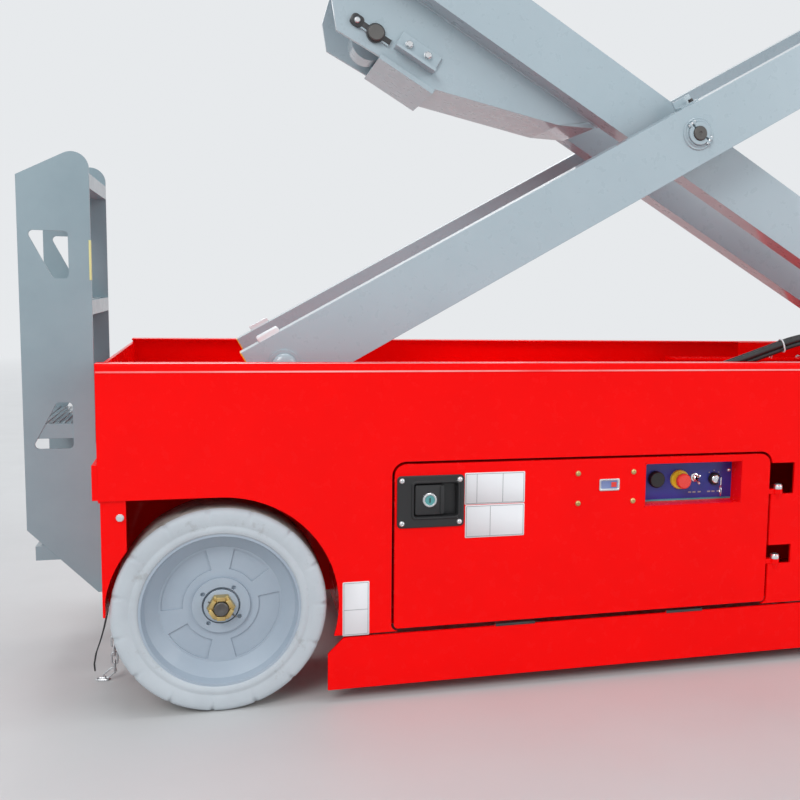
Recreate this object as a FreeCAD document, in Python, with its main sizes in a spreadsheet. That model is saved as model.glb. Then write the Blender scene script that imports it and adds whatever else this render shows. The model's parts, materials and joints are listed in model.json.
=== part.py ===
"""Electric slab scissor lift, stored with its arms part raised.

+X runs to the steered front end, +Y to the machine's left, +Z up; the floor is Z = 0.
All sizes are millimetres and degrees. The driving sizes are in the sheet; PLACES holds
the levels and stations worked out from them. Cutting solids run 1 past the faces they
open, and pieces that are welded run 1 into each other.
"""
import FreeCAD, Part
import math
import os
import re
import Sketcher
from FreeCAD import Vector, Rotation, Placement

doc = FreeCAD.newDocument("ScissorLift")
sheet = doc.addObject("Spreadsheet::Sheet", "Dims")

SIZES = (
    # alias, value, what it is
    ("wheelbase", 1870, "rear to front axle"),
    ("rear_over", 360, "ladder back to rear axle"),
    ("front_over", 290, "front axle to the chassis front"),
    ("body_w", 810, "width over the side panels"),
    ("panel_t", 6, "side panel plate"),
    ("panel_top", 642, "top of the side panels"),
    ("panel_back", 203, "side panel end behind the rear axle"),
    ("panel_lip", 26, "inward fold along the panel's top"),
    ("fold_t", 4, "panel top fold thickness"),
    ("arch_gap", 21, "wheel arch round the tyre"),
    ("bay_gap", 10, "wheel arch to the bay bulkhead"),
    ("skirt_z", 130, "lower edge of the side panels"),
    ("floor_t", 6, "chassis floor plate"),
    ("floor_rise", 6, "floor above the skirt edge"),
    ("web_y", 122, "centre tunnel half width"),
    ("web_t", 6, "tunnel wall plate"),
    ("cover_z", 532, "underside of the bay covers"),
    ("cover_t", 4, "bay cover plate"),
    ("wall_low", 192, "lower edge of the end walls"),
    ("step_z", 404, "ledge of the rear wall"),
    ("bumper_h", 62, "rear bumper strip height"),
    ("bumper_t", 9, "rear bumper strip thickness"),
    ("wall_drop", 8, "end walls below the panel top"),
    ("wall_step", 3, "rear wall set in below the ledge"),
    ("apron_t", 4, "rear wall plate below the ledge"),
    ("post_w", 42, "rear wall flange beside the tyre"),
    ("post_gap", 8, "rear wall flange round the tyre"),
    ("bulk_t", 4, "bay end bulkhead plate"),
    ("steer_room", 290, "front axle to the front bulkhead"),
    ("tie_hole", 32, "tie-down hole in the end walls"),
    ("tie_in", 65, "tie-down hole inside the panel face"),
    ("tie_up", 60, "tie-down hole above the wall's lower edge"),
    ("door_back", 315, "rear axle to the door's rear edge"),
    ("door_len", 790, "door length"),
    ("door_low", 135, "door lower edge"),
    ("door_top", 452, "door upper edge"),
    ("door_gap", 5, "gap round the door"),
    ("door_fold", 24, "door edge fold"),
    ("door_t", 3, "door sheet"),
    ("door_r", 22, "door upper corner radius"),
    ("door_foot", 8, "door lower corner radius"),
    ("hinge_off", 22, "door hinge axis past the door edge"),
    ("hinge_d", 12, "door hinge pin diameter"),
    ("hinge_eye", 20, "door hinge eye diameter"),
    ("hinge_up", 366, "upper hinge tab height"),
    ("hinge_dn", 216, "lower hinge tab height"),
    ("tab_t", 10, "hinge tab thickness"),
    ("tab_in", 40, "hinge tab behind the door's edge"),
    ("pin_head", 9, "hinge pin head height"),
    ("pocket_w", 58, "hinge pocket width"),
    ("pocket_up", 66, "upper hinge pocket above its tab's foot"),
    ("pocket_dn", 40, "lower hinge pocket above its tab's foot"),
    ("latch_w", 129, "latch plate width"),
    ("latch_h", 100, "latch plate height"),
    ("latch_t", 4, "latch plate thickness"),
    ("latch_r", 8, "latch plate corner radius"),
    ("latch_in", 4, "latch plate from the door's edge"),
    ("latch_z", 330, "latch plate lower edge"),
    ("cup_x", 31, "latch cup from the plate's edge"),
    ("cup_z", 20, "latch cup above the plate's edge"),
    ("cup_w", 86, "latch cup width"),
    ("cup_h", 66, "latch cup height"),
    ("cup_d", 14, "latch cup depth"),
    ("cup_t", 2, "latch cup wall"),
    ("paddle_w", 58, "latch paddle width"),
    ("lock_d", 28, "round lock diameter"),
    ("lock_x", 62, "round lock from the latch plate's edge"),
    ("panel_x", 507, "control recess from the door's rear edge"),
    ("panel_w", 219, "control recess width"),
    ("panel_z", 350, "control recess lower edge"),
    ("panel_h", 90, "control recess height"),
    ("panel_d", 48, "control recess depth"),
    ("panel_wall", 2, "control recess wall"),
    ("panel_face", 4, "control recess face plate"),
    ("battery_x", 6, "battery block ahead of the rear bulkhead"),
    ("battery_len", 580, "battery block length"),
    ("battery_h", 276, "battery block height"),
    ("hydraulic_x", 120, "hydraulic block ahead of the rear bulkhead"),
    ("hydraulic_len", 500, "hydraulic block length"),
    ("hydraulic_h", 270, "hydraulic block height"),
    ("block_out", 8, "battery and hydraulic blocks from the floor's edge"),
    ("block_in", 4, "battery and hydraulic blocks from the tunnel wall"),
    ("guard_low", 25, "pothole guard lower edge"),
    ("guard_gap", 5, "seam above the pothole guard"),
    ("guard_t", 6, "pothole guard plate"),
    ("guard_off", 191, "guard end ahead of the rear axle"),
    ("guard_front", 220, "guard end behind the front axle"),
    ("guard_cut", 30, "guard corner chamfer"),
    ("guard_pin", 8, "pothole guard hinge knuckle"),
    ("knuckle_len", 80, "pothole guard hinge knuckle length"),
    ("seat", 0.3, "clearance of a moving piece from its seat"),
    ("tyre_d", 381, "tyre diameter"),
    ("tyre_w", 127, "tyre width"),
    ("tyre_in", 5, "tyre face inside the panel face"),
    ("tyre_cut", 8, "tyre shoulder chamfer"),
    ("beam_gap", 14, "axle beam to the tyre"),
    ("rim_d", 286, "rim diameter under the tyre"),
    ("rim_t", 12, "rim band thickness"),
    ("rim_in", 3, "rim edge inside the tyre's outer face"),
    ("rim_edge", 5, "rim edge thickness"),
    ("rim_back", 2, "rim edge inside the tyre's inner face"),
    ("disc_in", 42, "wheel disc face behind the tyre face"),
    ("disc_d", 220, "flat face of the wheel disc"),
    ("lip_in", 20, "dish mouth behind the tyre face"),
    ("lip_out", 2, "dish mouth past the rim's inner face"),
    ("well_in", 136, "wheel pockets inner diameter"),
    ("well_out", 212, "wheel pockets outer diameter"),
    ("well_d", 3, "wheel pocket depth"),
    ("jack_d", 8, "puller hole diameter"),
    ("jack_r", 39.5, "puller holes from the axle"),
    ("disc_t", 12, "wheel disc thickness"),
    ("hub_d", 104, "hub cover diameter"),
    ("hub_t", 6, "hub cover thickness"),
    ("hub_wall", 12, "hub cover opening round the spindle"),
    ("hub_len", 50, "wheel hub length"),
    ("hub_cone", 14, "wheel hub taper"),
    ("spindle_d", 44, "wheel spindle diameter"),
    ("spindle_out", 2, "spindle past the hub cover"),
    ("axle_h", 90, "axle beam height"),
    ("king_in", 48, "kingpin axis inside the tyre"),
    ("king_d", 32, "kingpin diameter"),
    ("king_out", 4, "kingpin past its yoke plates"),
    ("knuckle_w", 64, "knuckle block length"),
    ("knuckle_y", 36, "knuckle block outside the kingpin axis"),
    ("knuckle_in", 28, "knuckle block inside the kingpin axis"),
    ("knuckle_gap", 2, "knuckle block to the yoke plates"),
    ("yoke_t", 20, "kingpin yoke plate"),
    ("yoke_h", 110, "opening of the kingpin yoke"),
    ("yoke_w", 80, "kingpin yoke width"),
    ("yoke_end", 30, "kingpin yoke past the kingpin axis"),
    ("steer_arm", 130, "kingpin to tie rod pin"),
    ("steer_tip", 18, "steering arm past the tie rod pin"),
    ("steer_w", 32, "steering arm width"),
    ("steer_t", 14, "steering arm thickness"),
    ("tie_d", 22, "tie rod diameter"),
    ("tie_thin", 2, "tie rod bar inside its eye's height"),
    ("tie_ring", 4, "tie rod eye past the rod"),
    ("tie_room", 40, "tunnel window round the tie rod"),
    ("steer_up", 48, "steering arm top above the axle"),
    ("pin_x", 122, "arm pivot ahead of the rear axle"),
    ("pin_z", 628, "arm pivot height"),
    ("pin_d", 30, "arm pin diameter"),
    ("pin_fit", 0.25, "clearance round a pin"),
    ("arm_room", 68, "chassis front to the end pins of arms laid flat"),
    ("arm_end", 58, "arm end past its pin"),
    ("arm_deep", 120, "arm tube depth"),
    ("arm_wide", 60, "arm tube width"),
    ("arm_wall", 5, "arm tube wall"),
    ("rest_angle", 29.7, "arm slope as stored"),
    ("arm_gap", 40, "gap between the inner and outer arm tubes"),
    ("arm_bias", 42, "arms nearer the side panels than the centre line"),
    ("boss_d", 60, "pin boss diameter"),
    ("boss_out", 3, "pin boss past the tube face"),
    ("face_gap", 2, "running gap between boss faces"),
    ("ring_d", 50, "pin retaining ring diameter"),
    ("ring_t", 6, "pin retaining ring thickness"),
    ("pin_out", 4, "pins past their retaining rings"),
    ("pin_in", 2, "pins past the inner faces"),
    ("cross_d", 70, "cross tube diameter"),
    ("roller_d", 52, "guide roller diameter"),
    ("roller_w", 44, "guide roller width"),
    ("roller_end", 2, "roller axle past the roller"),
    ("rail_gap", 0.5, "roller to rail flange"),
    ("rail_t", 6, "roller rail plate"),
    ("rail_back", 1195, "roller rail start ahead of the rear axle"),
    ("web_back", 1420, "raised rail web start ahead of the rear axle"),
    ("hold_back", 1660, "rail top flange start ahead of the rear axle"),
    ("roller_out", 15, "guide roller from the outer arm"),
    ("roller_gap", 6, "guide roller to the rail web"),
    ("lug_t", 10, "pivot bracket plate"),
    ("lug_w", 90, "pivot bracket width"),
    ("lug_r", 24, "pivot bracket corner radius"),
    ("lug_drop", 2, "pivot bracket below the panel top"),
    ("eye_s", 664, "cylinder pin from the lower arm centre"),
    ("eye_n", 168, "cylinder pin below the lower arm centre line"),
    ("fish_t", 8, "cylinder bracket plate"),
    ("fish_back", 136, "bracket's rear end behind the cylinder pin"),
    ("fish_shin", 106, "bracket's upper heel behind the cylinder pin"),
    ("fish_heel", 69, "bracket's lower heel behind the cylinder pin"),
    ("fish_toe", 155, "bracket's lower bend ahead of the cylinder pin"),
    ("fish_knee", 428, "bracket's upper bend ahead of the cylinder pin"),
    ("fish_nose", 510, "bracket's nose ahead of the cylinder pin"),
    ("fish_rise", 7, "bracket's upper heel above the cylinder pin"),
    ("fish_foot", 39, "bracket's lower heel below the cylinder pin"),
    ("fish_sole", 29, "bracket's lower bend below the cylinder pin"),
    ("fish_deep", 107, "bracket's upper bend below the arm centre line"),
    ("fish_lap", 20, "bracket's lap on the arm"),
    ("fish_mid", 25, "cross plate's start behind the lower bend"),
    ("fish_end", 500, "cross plate's end ahead of the cylinder pin"),
    ("shield_x", 30, "cover plate ahead of the cylinder pin"),
    ("shield_len", 130, "cover plate length"),
    ("shield_t", 10, "cover plate thickness"),
    ("keeper_up", 52, "keeper bar behind the cylinder pin"),
    ("keeper_dn", 34, "keeper bar ahead of the cylinder pin"),
    ("keeper_h", 18, "keeper bar height"),
    ("keeper_t", 6, "cylinder pin keeper bar"),
    ("angle_w", 34, "bolted angle past the bracket"),
    ("angle_x", 46, "bolted angle ahead of the cylinder pin"),
    ("angle_len", 94, "bolted angle length"),
    ("angle_h", 40, "bolted angle height"),
    ("angle_dn", 4, "bolted angle below the cylinder pin"),
    ("head_s", 200, "rod pin from the second arm centre"),
    ("ear_w", 100, "rod ear length"),
    ("ear_in", 4, "rod ear inside the arm's edges"),
    ("ear_gap", 6, "rod eye to its ears"),
    ("ear_t", 14, "rod ear thickness"),
    ("ear_tube", 40, "tube between an ear and its arm"),
    ("barrel_len", 830, "cylinder pin to barrel end"),
    ("barrel_x", 60, "barrel's rear end ahead of the cylinder pin"),
    ("neck_x", 20, "barrel neck ahead of the cylinder pin"),
    ("neck_lap", 10, "barrel neck into the barrel"),
    ("neck_in", 5, "barrel neck inside the eye's faces"),
    ("neck_h", 60, "barrel neck height"),
    ("bore_x", 80, "barrel bore ahead of the cylinder pin"),
    ("rod_in", 250, "cylinder pin to the piston's inner end as stored"),
    ("barrel_d", 100, "cylinder barrel diameter"),
    ("rod_d", 56, "piston rod diameter"),
    ("rod_fit", 0.5, "clearance round the piston rod"),
    ("rod_end", 20, "piston rod behind its eye's axis"),
    ("head_d", 64, "rod eye diameter"),
    ("eye_d", 80, "cylinder eye diameter"),
    ("eye_w", 70, "cylinder eye width"),
    ("ladder_w", 300, "ladder width"),
    ("ladder_t", 5, "ladder plate"),
    ("ladder_deep", 128, "ladder stringer depth"),
    ("ladder_top", 1044, "ladder apex height before rounding"),
    ("ladder_r", 30, "ladder apex radius"),
    ("ladder_slope", 67, "ladder back corner below the apex"),
    ("ladder_foot", 131, "ladder back corner above its lowest edge"),
    ("ladder_nose", 20, "ladder foot ahead of the stringer"),
    ("ladder_toe", 22, "lower edge of the ladder's foot"),
    ("ladder_low", 167, "ladder lowest edge"),
    ("rung_top", 957, "highest step"),
    ("rung_gap", 240, "step spacing"),
    ("step_t", 28, "step fold height"),
    ("step_in", 14, "steps ahead of the ladder's back"),
    ("grip_up", 785, "upper hand hole lower edge"),
    ("grip_dn", 457, "lower hand hole lower edge"),
    ("grip_h", 90, "hand hole height"),
    ("grip_x", 14, "hand hole from the ladder's back"),
    ("grip_w", 74, "hand hole width"),
    ("grip_cut", 46, "hand hole slant"),
    ("grip_r", 8, "hand hole corner radius"),
    ("deck_rise", 92, "deck frame above the top pivot"),
    ("deck_back", 300, "platform behind the arm pivot"),
    ("deck_w", 800, "platform width"),
    ("deck_h", 90, "deck frame height"),
    ("deck_t", 4, "deck plate"),
    ("tread_t", 2, "tread plate on the rear of the deck"),
    ("tread_gap", 12, "tread plate from what stands round it"),
    ("side_w", 40, "deck frame channel width"),
    ("ear_len", 70, "deck pivot lug length"),
    ("rib_count", 5, "cross ribs under the deck"),
    ("rail_h", 1100, "guardrail height above the deck"),
    ("tube_d", 38, "guardrail tube"),
    ("tube_step", 1, "radius step between tubes that cross"),
    ("rail_end", 60, "guardrail behind the deck's front"),
    ("toe_h", 150, "toe board height"),
    ("toe_t", 3, "toe board sheet"),
    ("gate_gap", 6, "gate post from the rail post"),
    ("gate_low", 40, "gate post above the deck"),
    ("gate_bar", 60, "lowest gate tube above the gate post's foot"),
    ("gate_lug", 6, "gate hinge and latch plate"),
    ("ext_len", 1130, "extension deck length"),
    ("ext_gap", 6, "extension deck above the main deck"),
    ("ext_t", 30, "extension deck thickness"),
    ("ext_room", 6, "gap between the main and extension rails"),
    ("ext_end", 10, "extension behind the deck's front"),
    ("box_end", 150, "control box behind the extension's front"),
    ("box_len", 180, "control box length"),
    ("box_deep", 130, "control box depth"),
    ("box_slope", 71, "control box's sloping face depth"),
    ("box_brow", 90, "control box's sloping face height"),
    ("box_chin", 35, "control box's foot set back"),
    ("box_drop", 60, "control box below the rail's top"),
    ("box_h", 200, "control box height"),
    ("hook_w", 80, "control box hook width"),
    ("hook_t", 4, "control box hook plate"),
    ("stick_d", 24, "joystick diameter"),
    ("stick_y", 65, "joystick from the box's back"),
    ("stick_up", 20, "joystick above the rail"),
)
for row, (alias, value, note) in enumerate(SIZES, 1):
    sheet.set("A%d" % row, note)
    sheet.set("B%d" % row, str(value))
    sheet.setAlias("B%d" % row, alias)
doc.recompute()

PLACES = {
    "overall_len": "rear_over + wheelbase + front_over",
    "arm_half": "(wheelbase + front_over - pin_x - arm_room) / 2",
    "rear_ax": "rear_over - overall_len / 2",
    "front_ax": "rear_ax + wheelbase",
    "front_x": "overall_len / 2",
    "back_x": "rear_ax - panel_back",
    "half_w": "body_w / 2",
    "skin_y": "half_w - panel_t",
    "tie_y": "half_w - tie_in",
    "axle_z": "tyre_d / 2",
    "arch_r": "tyre_d / 2 + arch_gap",
    "floor_z": "skirt_z + floor_rise",
    "wall_out": "web_y + web_t",
    "bay_back": "rear_ax + arch_r + bay_gap",
    "bay_front": "front_ax - steer_room",
    "door_x0": "rear_ax + door_back",
    "door_x1": "door_x0 + door_len",
    "hinge_x": "door_x1 + hinge_off",
    "hinge_y": "half_w - panel_t / 2",
    "box_x": "door_x0 + panel_x",
    "latch_x": "door_x0 + latch_in",
    "guard_top": "skirt_z - guard_gap",
    "guard_x0": "rear_ax + guard_off",
    "guard_x1": "front_ax - guard_front",
    "tyre_y": "half_w - tyre_in",
    "disc_y": "tyre_y - disc_in",
    "king_y": "tyre_y - tyre_w - king_in",
    "pivot_x": "rear_ax + pin_x",
    "rise": "arm_half * sin(rest_angle)",
    "reach": "arm_half * cos(rest_angle)",
    "slide_x": "pivot_x + 2 * reach",
    "top_z": "pin_z + 6 * rise",
    "stack_w": "2 * arm_wide + arm_gap + roller_out + roller_w + roller_gap + rail_t",
    "inner_y": "(skin_y - stack_w + arm_bias) / 2",
    "outer_y": "inner_y + arm_wide + arm_gap",
    "inner_out": "inner_y + arm_wide",
    "outer_out": "outer_y + arm_wide",
    "mid_y": "(inner_out + outer_y) / 2",
    "pin_r": "pin_d / 2",
    "hole_r": "pin_d / 2 + pin_fit",
    "roller_y": "outer_out + roller_out",
    "web_in": "roller_y + roller_w + roller_gap",
    "rail_lo": "pin_z - roller_d / 2 - rail_gap - rail_t",
    "rail_hi": "pin_z + roller_d / 2 + rail_gap",
    "ladder_x0": "-overall_len / 2",
    "ladder_x1": "ladder_x0 + ladder_deep",
    "deck_z": "top_z + deck_rise",
    "floor_top": "deck_z + deck_h + deck_t",
    "deck_x0": "pivot_x - deck_back",
    "deck_x1": "pivot_x + 2 * arm_half",
    "deck_len": "deck_x1 - deck_x0",
    "rail_z": "floor_top + rail_h",
    "post_y": "deck_w / 2 - tube_d / 2",
    "tube_r": "tube_d / 2",
    "post_r": "tube_r - tube_step",
    "floor_y": "half_w - door_fold - door_gap",
    "tie_z": "axle_z + steer_up + seat + tie_d / 2",
    "ext_y": "post_y - tube_d - ext_room",
    "ext_x0": "deck_x1 - ext_len",
    "ext_x1": "deck_x1 - ext_end",
    "ext_top": "floor_top + ext_gap + ext_t",
    "rail_x1": "deck_x1 - rail_end",
    "gate_y": "post_y - tube_d - gate_gap",
    "box_y": "-ext_y + tube_r + 1",
}
ALIASES = {alias for alias, _, _ in SIZES}


def ex(text):
    """Expression text with every place and sheet alias spelled out."""
    def spell(match):
        word = match.group(0)
        if word in PLACES:
            return "(" + ex(PLACES[word]) + ")"
        return "Dims." + word if word in ALIASES else word
    return re.sub(r"(?<![\w.])[a-z]\w*", spell, str(text))


def bind(obj, **exprs):
    for prop, text in exprs.items():
        obj.setExpression(prop.replace("__", "."), ex(text))
    return obj


def at(obj, x="0", y="0", z="0", axis=None, angle="0"):
    """Place an object at bound coordinates, turned by a bound angle about an axis."""
    if axis:
        obj.Placement = Placement(Vector(), Rotation(Vector(*axis), 1))
        bind(obj, Placement__Rotation__Angle=angle)
    return bind(obj, Placement__Base__x=x, Placement__Base__y=y, Placement__Base__z=z)


def box(name, x, y, z):
    """Box between bound low and high corners."""
    obj = doc.addObject("Part::Box", name)
    spans = ["%s - (%s)" % (hi, lo) for lo, hi in (x, y, z)]
    bind(obj, Length=spans[0], Width=spans[1], Height=spans[2])
    return at(obj, x[0], y[0], z[0])


TURNS = {"X": Rotation(Vector(0, 1, 0), 90), "Y": Rotation(Vector(1, 0, 0), -90),
         "Z": Rotation()}


def rod(name, axis, radius, span, across):
    """Cylinder along an axis over a span, at the two other coordinates."""
    obj = doc.addObject("Part::Cylinder", name)
    obj.Placement = Placement(Vector(), TURNS[axis])
    spots = list(across)
    spots.insert("XYZ".index(axis), span[0])
    bind(obj, Radius=radius, Height="%s - (%s)" % (span[1], span[0]))
    return bind(obj, Placement__Base__x=spots[0], Placement__Base__y=spots[1],
                Placement__Base__z=spots[2])


PLANES = {"XZ": Rotation(Vector(1, 0, 0), 90), "XY": Rotation(),
          "YZ": Rotation(Vector(1, 1, 1), 120)}


def number(text):
    return float(doc.Dims.evalExpression(ex(text)))


def corner_ends(before, spot, after, radius):
    """Where a corner's arc meets its two sides, and the arc's centre."""
    back, ahead = (before - spot).normalize(), (after - spot).normalize()
    half = back.getAngle(ahead) / 2
    run = radius / math.tan(half)
    centre = spot + (back + ahead).normalize() * (radius / math.sin(half))
    return spot + back * run, spot + ahead * run, centre


def outline(name, plane, points):
    """Closed sketch bound to its corners; a third value at a corner is its radius."""
    sketch = doc.addObject("Sketcher::SketchObject", name)
    sketch.Placement = Placement(Vector(), PLANES[plane])
    count = len(points)
    spots = [Vector(number(p[0]), number(p[1]), 0) for p in points]
    radii = [number(p[2]) if len(p) > 2 else 0 for p in points]
    ends = [corner_ends(spots[n - 1], spot, spots[(n + 1) % count], radii[n]) if radii[n]
            else (spot, spot, spot) for n, spot in enumerate(spots)]
    for n in range(count):
        sketch.addGeometry(Part.LineSegment(ends[n][1], ends[(n + 1) % count][0]))

    def hold(kind, *where):
        """Constraint whose last entry is its expression."""
        sketch.addConstraint(Sketcher.Constraint(kind, *where[:-1], number(where[-1])))
        sketch.setExpression("Constraints[%d]" % (sketch.ConstraintCount - 1), ex(where[-1]))

    for n, point in enumerate(points):
        last = (n - 1) % count
        corner = (n, 1)
        if radii[n]:
            start, end, centre = ends[n]
            left = (start - centre).cross(end - centre).z > 0
            low, high = (start, end) if left else (end, start)
            turn = [math.atan2((p - centre).y, (p - centre).x) for p in (low, high)]
            arc = sketch.addGeometry(Part.ArcOfCircle(
                Part.Circle(centre, Vector(0, 0, 1), radii[n]), *turn))
            first, second = (1, 2) if left else (2, 1)
            corner = (sketch.addGeometry(Part.Point(spots[n]), True), 1)
            for side, end_of, arc_end in ((last, 2, first), (n, 1, second)):
                sketch.addConstraint(Sketcher.Constraint("Tangent", side, end_of, arc, arc_end))
                sketch.addConstraint(Sketcher.Constraint("PointOnObject", *corner, side))
            hold("Radius", arc, point[2])
        else:
            sketch.addConstraint(Sketcher.Constraint("Coincident", last, 2, n, 1))
        for kind, text in zip(("DistanceX", "DistanceY"), point):
            hold(kind, -1, 1, *corner, text)
    return sketch


def plate(name, plane, points, span):
    """Outline pushed across its plane from one bound level to another."""
    obj = doc.addObject("Part::Extrusion", name)
    obj.Base = outline(name + "_outline", plane, points)
    obj.DirMode = "Normal"
    obj.Solid = True
    low, high = span
    if plane == "XZ":
        return bind(obj, LengthFwd="-(%s)" % low, LengthRev=high)
    return bind(obj, LengthFwd=high, LengthRev="-(%s)" % low)


def panel_blank(name, x, z, low_r, high_r, span):
    """Upright plate between bound corners, its lower and upper corners rounded."""
    return plate(name, "XZ", ((x[0], z[0], low_r), (x[1], z[0], low_r),
                              (x[1], z[1], high_r), (x[0], z[1], high_r)), span)


def turned(name, points):
    """Profile of (lateral, radius) pairs revolved about the Y axis."""
    obj = doc.addObject("Part::Revolution", name)
    obj.Source = outline(name + "_profile", "YZ", points)
    obj.Axis, obj.Angle, obj.Solid = Vector(0, 1, 0), 360, True
    return obj


def join(name, parts):
    obj = doc.addObject("Part::MultiFuse", name)
    obj.Shapes = parts
    return obj


def cut(name, base, tools):
    obj = doc.addObject("Part::Cut", name)
    obj.Base = base
    obj.Tool = tools[0] if len(tools) == 1 else join(name + "_tools", tools)
    return obj


def other_side(name, source):
    obj = doc.addObject("Part::Mirroring", name)
    obj.Source, obj.Base, obj.Normal = source, Vector(), Vector(0, 1, 0)
    return obj


def group(name, parts):
    obj = doc.addObject("Part::Compound", name)
    obj.Links = parts
    return obj


NODES = []


def node(name, obj):
    NODES.append((name, obj))
    return obj


def wall_pair(name, x, y, z):
    right = box(name, x, y, z)
    return [right, other_side(name + "_left", right)]


beam_box = (("rear_ax - axle_h / 2", "rear_ax + axle_h / 2"),
            ("-tyre_y + tyre_w + beam_gap", "tyre_y - tyre_w - beam_gap"),
            ("axle_z - axle_h / 2", "axle_z + axle_h / 2"))
yoke_x = ("front_ax - yoke_w / 2", "front_ax + yoke_w / 2")
YOKES = (("upper", "axle_z + yoke_h / 2"), ("lower", "axle_z - yoke_h / 2 - yoke_t"))
king_bores = [rod("king_bore_%d" % n, "Z", "king_d / 2 + pin_fit", ("0", "axle_z * 2"),
                  ("front_ax", y)) for n, y in enumerate(("-king_y", "king_y"))]

# Floor, bulkheads, covers and the tunnel walls that the axles pass through.
floor = [box("floor_plate", ("bay_back", "bay_front"), ("-floor_y", "floor_y"),
             ("floor_z", "floor_z + floor_t"))]
for end, x in (("rear", "bay_back"), ("front", "bay_front - bulk_t")):
    floor += wall_pair(end + "_bulkhead", (x, x + " + bulk_t"), ("-skin_y", "-wall_out"),
                       ("floor_z + floor_t", "cover_z"))
floor += wall_pair("cover", ("back_x + panel_t", "front_x - panel_t"), ("-skin_y", "-web_y"),
                   ("cover_z", "cover_z + cover_t"))
tunnel_x = ("back_x + wall_step + apron_t", "front_x - panel_t")
wall = box("tunnel_wall", tunnel_x, ("-wall_out", "-web_y"), ("floor_z", "cover_z"))
wall_tools = [box("beam_window", *beam_box),
              box("floor_window", ("bay_back", "bay_front"), ("-floor_y", "floor_y"),
                  ("floor_z - 1", "floor_z + floor_t")),
              box("tie_window",
                  ("front_ax - steer_arm - tie_room", "front_ax - steer_arm + tie_room"),
                  ("-wall_out - 1", "wall_out + 1"), ("tie_z - tie_room", "tie_z + tie_room"))]
wall_tools += [box("yoke_window_" + end, yoke_x, ("-king_y", "king_y"), (low, low + " + yoke_t"))
               for end, low in YOKES]
wall = cut("tunnel_wall_cut", wall, wall_tools)
node("chassis_frame", group("chassis_frame", floor + [wall, other_side("tunnel_wall_left", wall)]))

# End walls with their tie-down holes; the rear one steps in below its bumper.
rear_wall = join("rear_wall_plates", [
    box("rear_wall", ("back_x", "back_x + panel_t"), ("-skin_y", "skin_y"),
        ("step_z", "panel_top - wall_drop")),
    box("rear_bumper", ("back_x - bumper_t", "back_x"), ("-half_w", "half_w"),
        ("step_z", "step_z + bumper_h")),
    box("rear_ledge", ("back_x", "back_x + wall_step + apron_t"), ("-skin_y", "skin_y"),
        ("step_z - panel_t", "step_z + 1")),
    box("rear_apron", ("back_x + wall_step", "back_x + wall_step + apron_t"),
        ("-skin_y", "skin_y"), ("wall_low", "step_z"))])
posts = cut("rear_posts", join("rear_post_plates", wall_pair(
    "rear_post", ("back_x + wall_step", "back_x + wall_step + post_w"),
    ("-skin_y", "-skin_y + apron_t"), ("wall_low", "step_z"))),
    [rod("tyre_room", "Y", "tyre_d / 2 + post_gap", ("-half_w", "half_w"), ("rear_ax", "axle_z"))])
rear_wall = join("rear_wall_flanged", [rear_wall, posts])
front_wall = box("front_plate", ("front_x - panel_t", "front_x"), ("-skin_y", "skin_y"),
                 ("wall_low", "panel_top - wall_drop"))
walls = []
for end, plates, x in (("rear", rear_wall, "back_x + wall_step"),
                       ("front", front_wall, "front_x - panel_t")):
    tie_down = rod(end + "_tie_down", "X", "tie_hole / 2", (x + " - 1", x + " + panel_t + 1"),
                   ("-tie_y", "wall_low + tie_up"))
    walls.append(cut(end + "_wall_bored", plates,
                     [tie_down, other_side(end + "_tie_down_left", tie_down)]))
node("end_walls", group("end_walls", walls))

# Axles: a rear beam with its spindles, and the two front plates that hold the kingpins.
axles = [join("rear_axle", [
    box("rear_beam", *beam_box),
    rod("rear_spindles", "Y", "spindle_d / 2",
        ("-disc_y - hub_t - spindle_out", "disc_y + hub_t + spindle_out"), ("rear_ax", "axle_z"))])]
for end, low in YOKES:
    plate_y = ("-king_y - yoke_end", "king_y + yoke_end")
    axles.append(cut("yoke_" + end, box("yoke_plate_" + end, yoke_x, plate_y,
                                        (low, low + " + yoke_t")), king_bores))
node("axle_beams", group("axle_beams", axles))

# Pivot lugs of the lowest arms with their pins, and the rails for the guide rollers.
lugs = [plate("lug_" + side, "XZ", (
    ("pivot_x - lug_w / 2", "cover_z + cover_t"), ("pivot_x + lug_w / 2", "cover_z + cover_t"),
    ("pivot_x + lug_w / 2", "panel_top - lug_drop", "lug_r"),
    ("pivot_x - lug_w / 2", "panel_top - lug_drop", "lug_r")), (y, y + " + lug_t"))
        for side, y in (("middle", "-mid_y + face_gap / 2"),
                        ("inner", "-inner_y - arm_wide / 2 - lug_t"))]
lugs.append(rod("pivot_pin", "Y", "pin_r", ("-outer_out - boss_out - face_gap",
                                            "-inner_y - arm_wide / 2 + face_gap"),
                ("pivot_x", "pin_z")))
lugs = join("pivot_lugs", lugs)
rail_front = "front_x - panel_t"
flange_y = ("-web_in", "-outer_out - boss_out - face_gap * 2")
web_y_span = ("-web_in - rail_t", "-web_in")
rail = join("roller_rail", [
    box("rail_flange", ("rear_ax + rail_back", rail_front), flange_y,
        ("rail_lo", "rail_lo + rail_t")),
    box("rail_web", ("rear_ax + rail_back", rail_front), web_y_span,
        ("cover_z + cover_t", "rail_lo + rail_t")),
    box("rail_rise", ("rear_ax + web_back", rail_front), web_y_span, ("rail_lo", "panel_top")),
    box("rail_neck", ("rear_ax + hold_back", rail_front), web_y_span,
        ("rail_lo", "rail_hi + rail_t")),
    box("rail_hold", ("rear_ax + hold_back", rail_front), flange_y,
        ("rail_hi", "rail_hi + rail_t"))])
node("arm_mounts", group("arm_mounts", [lugs, other_side("pivot_lugs_left", lugs), rail,
                                        other_side("roller_rail_left", rail)]))

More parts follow.
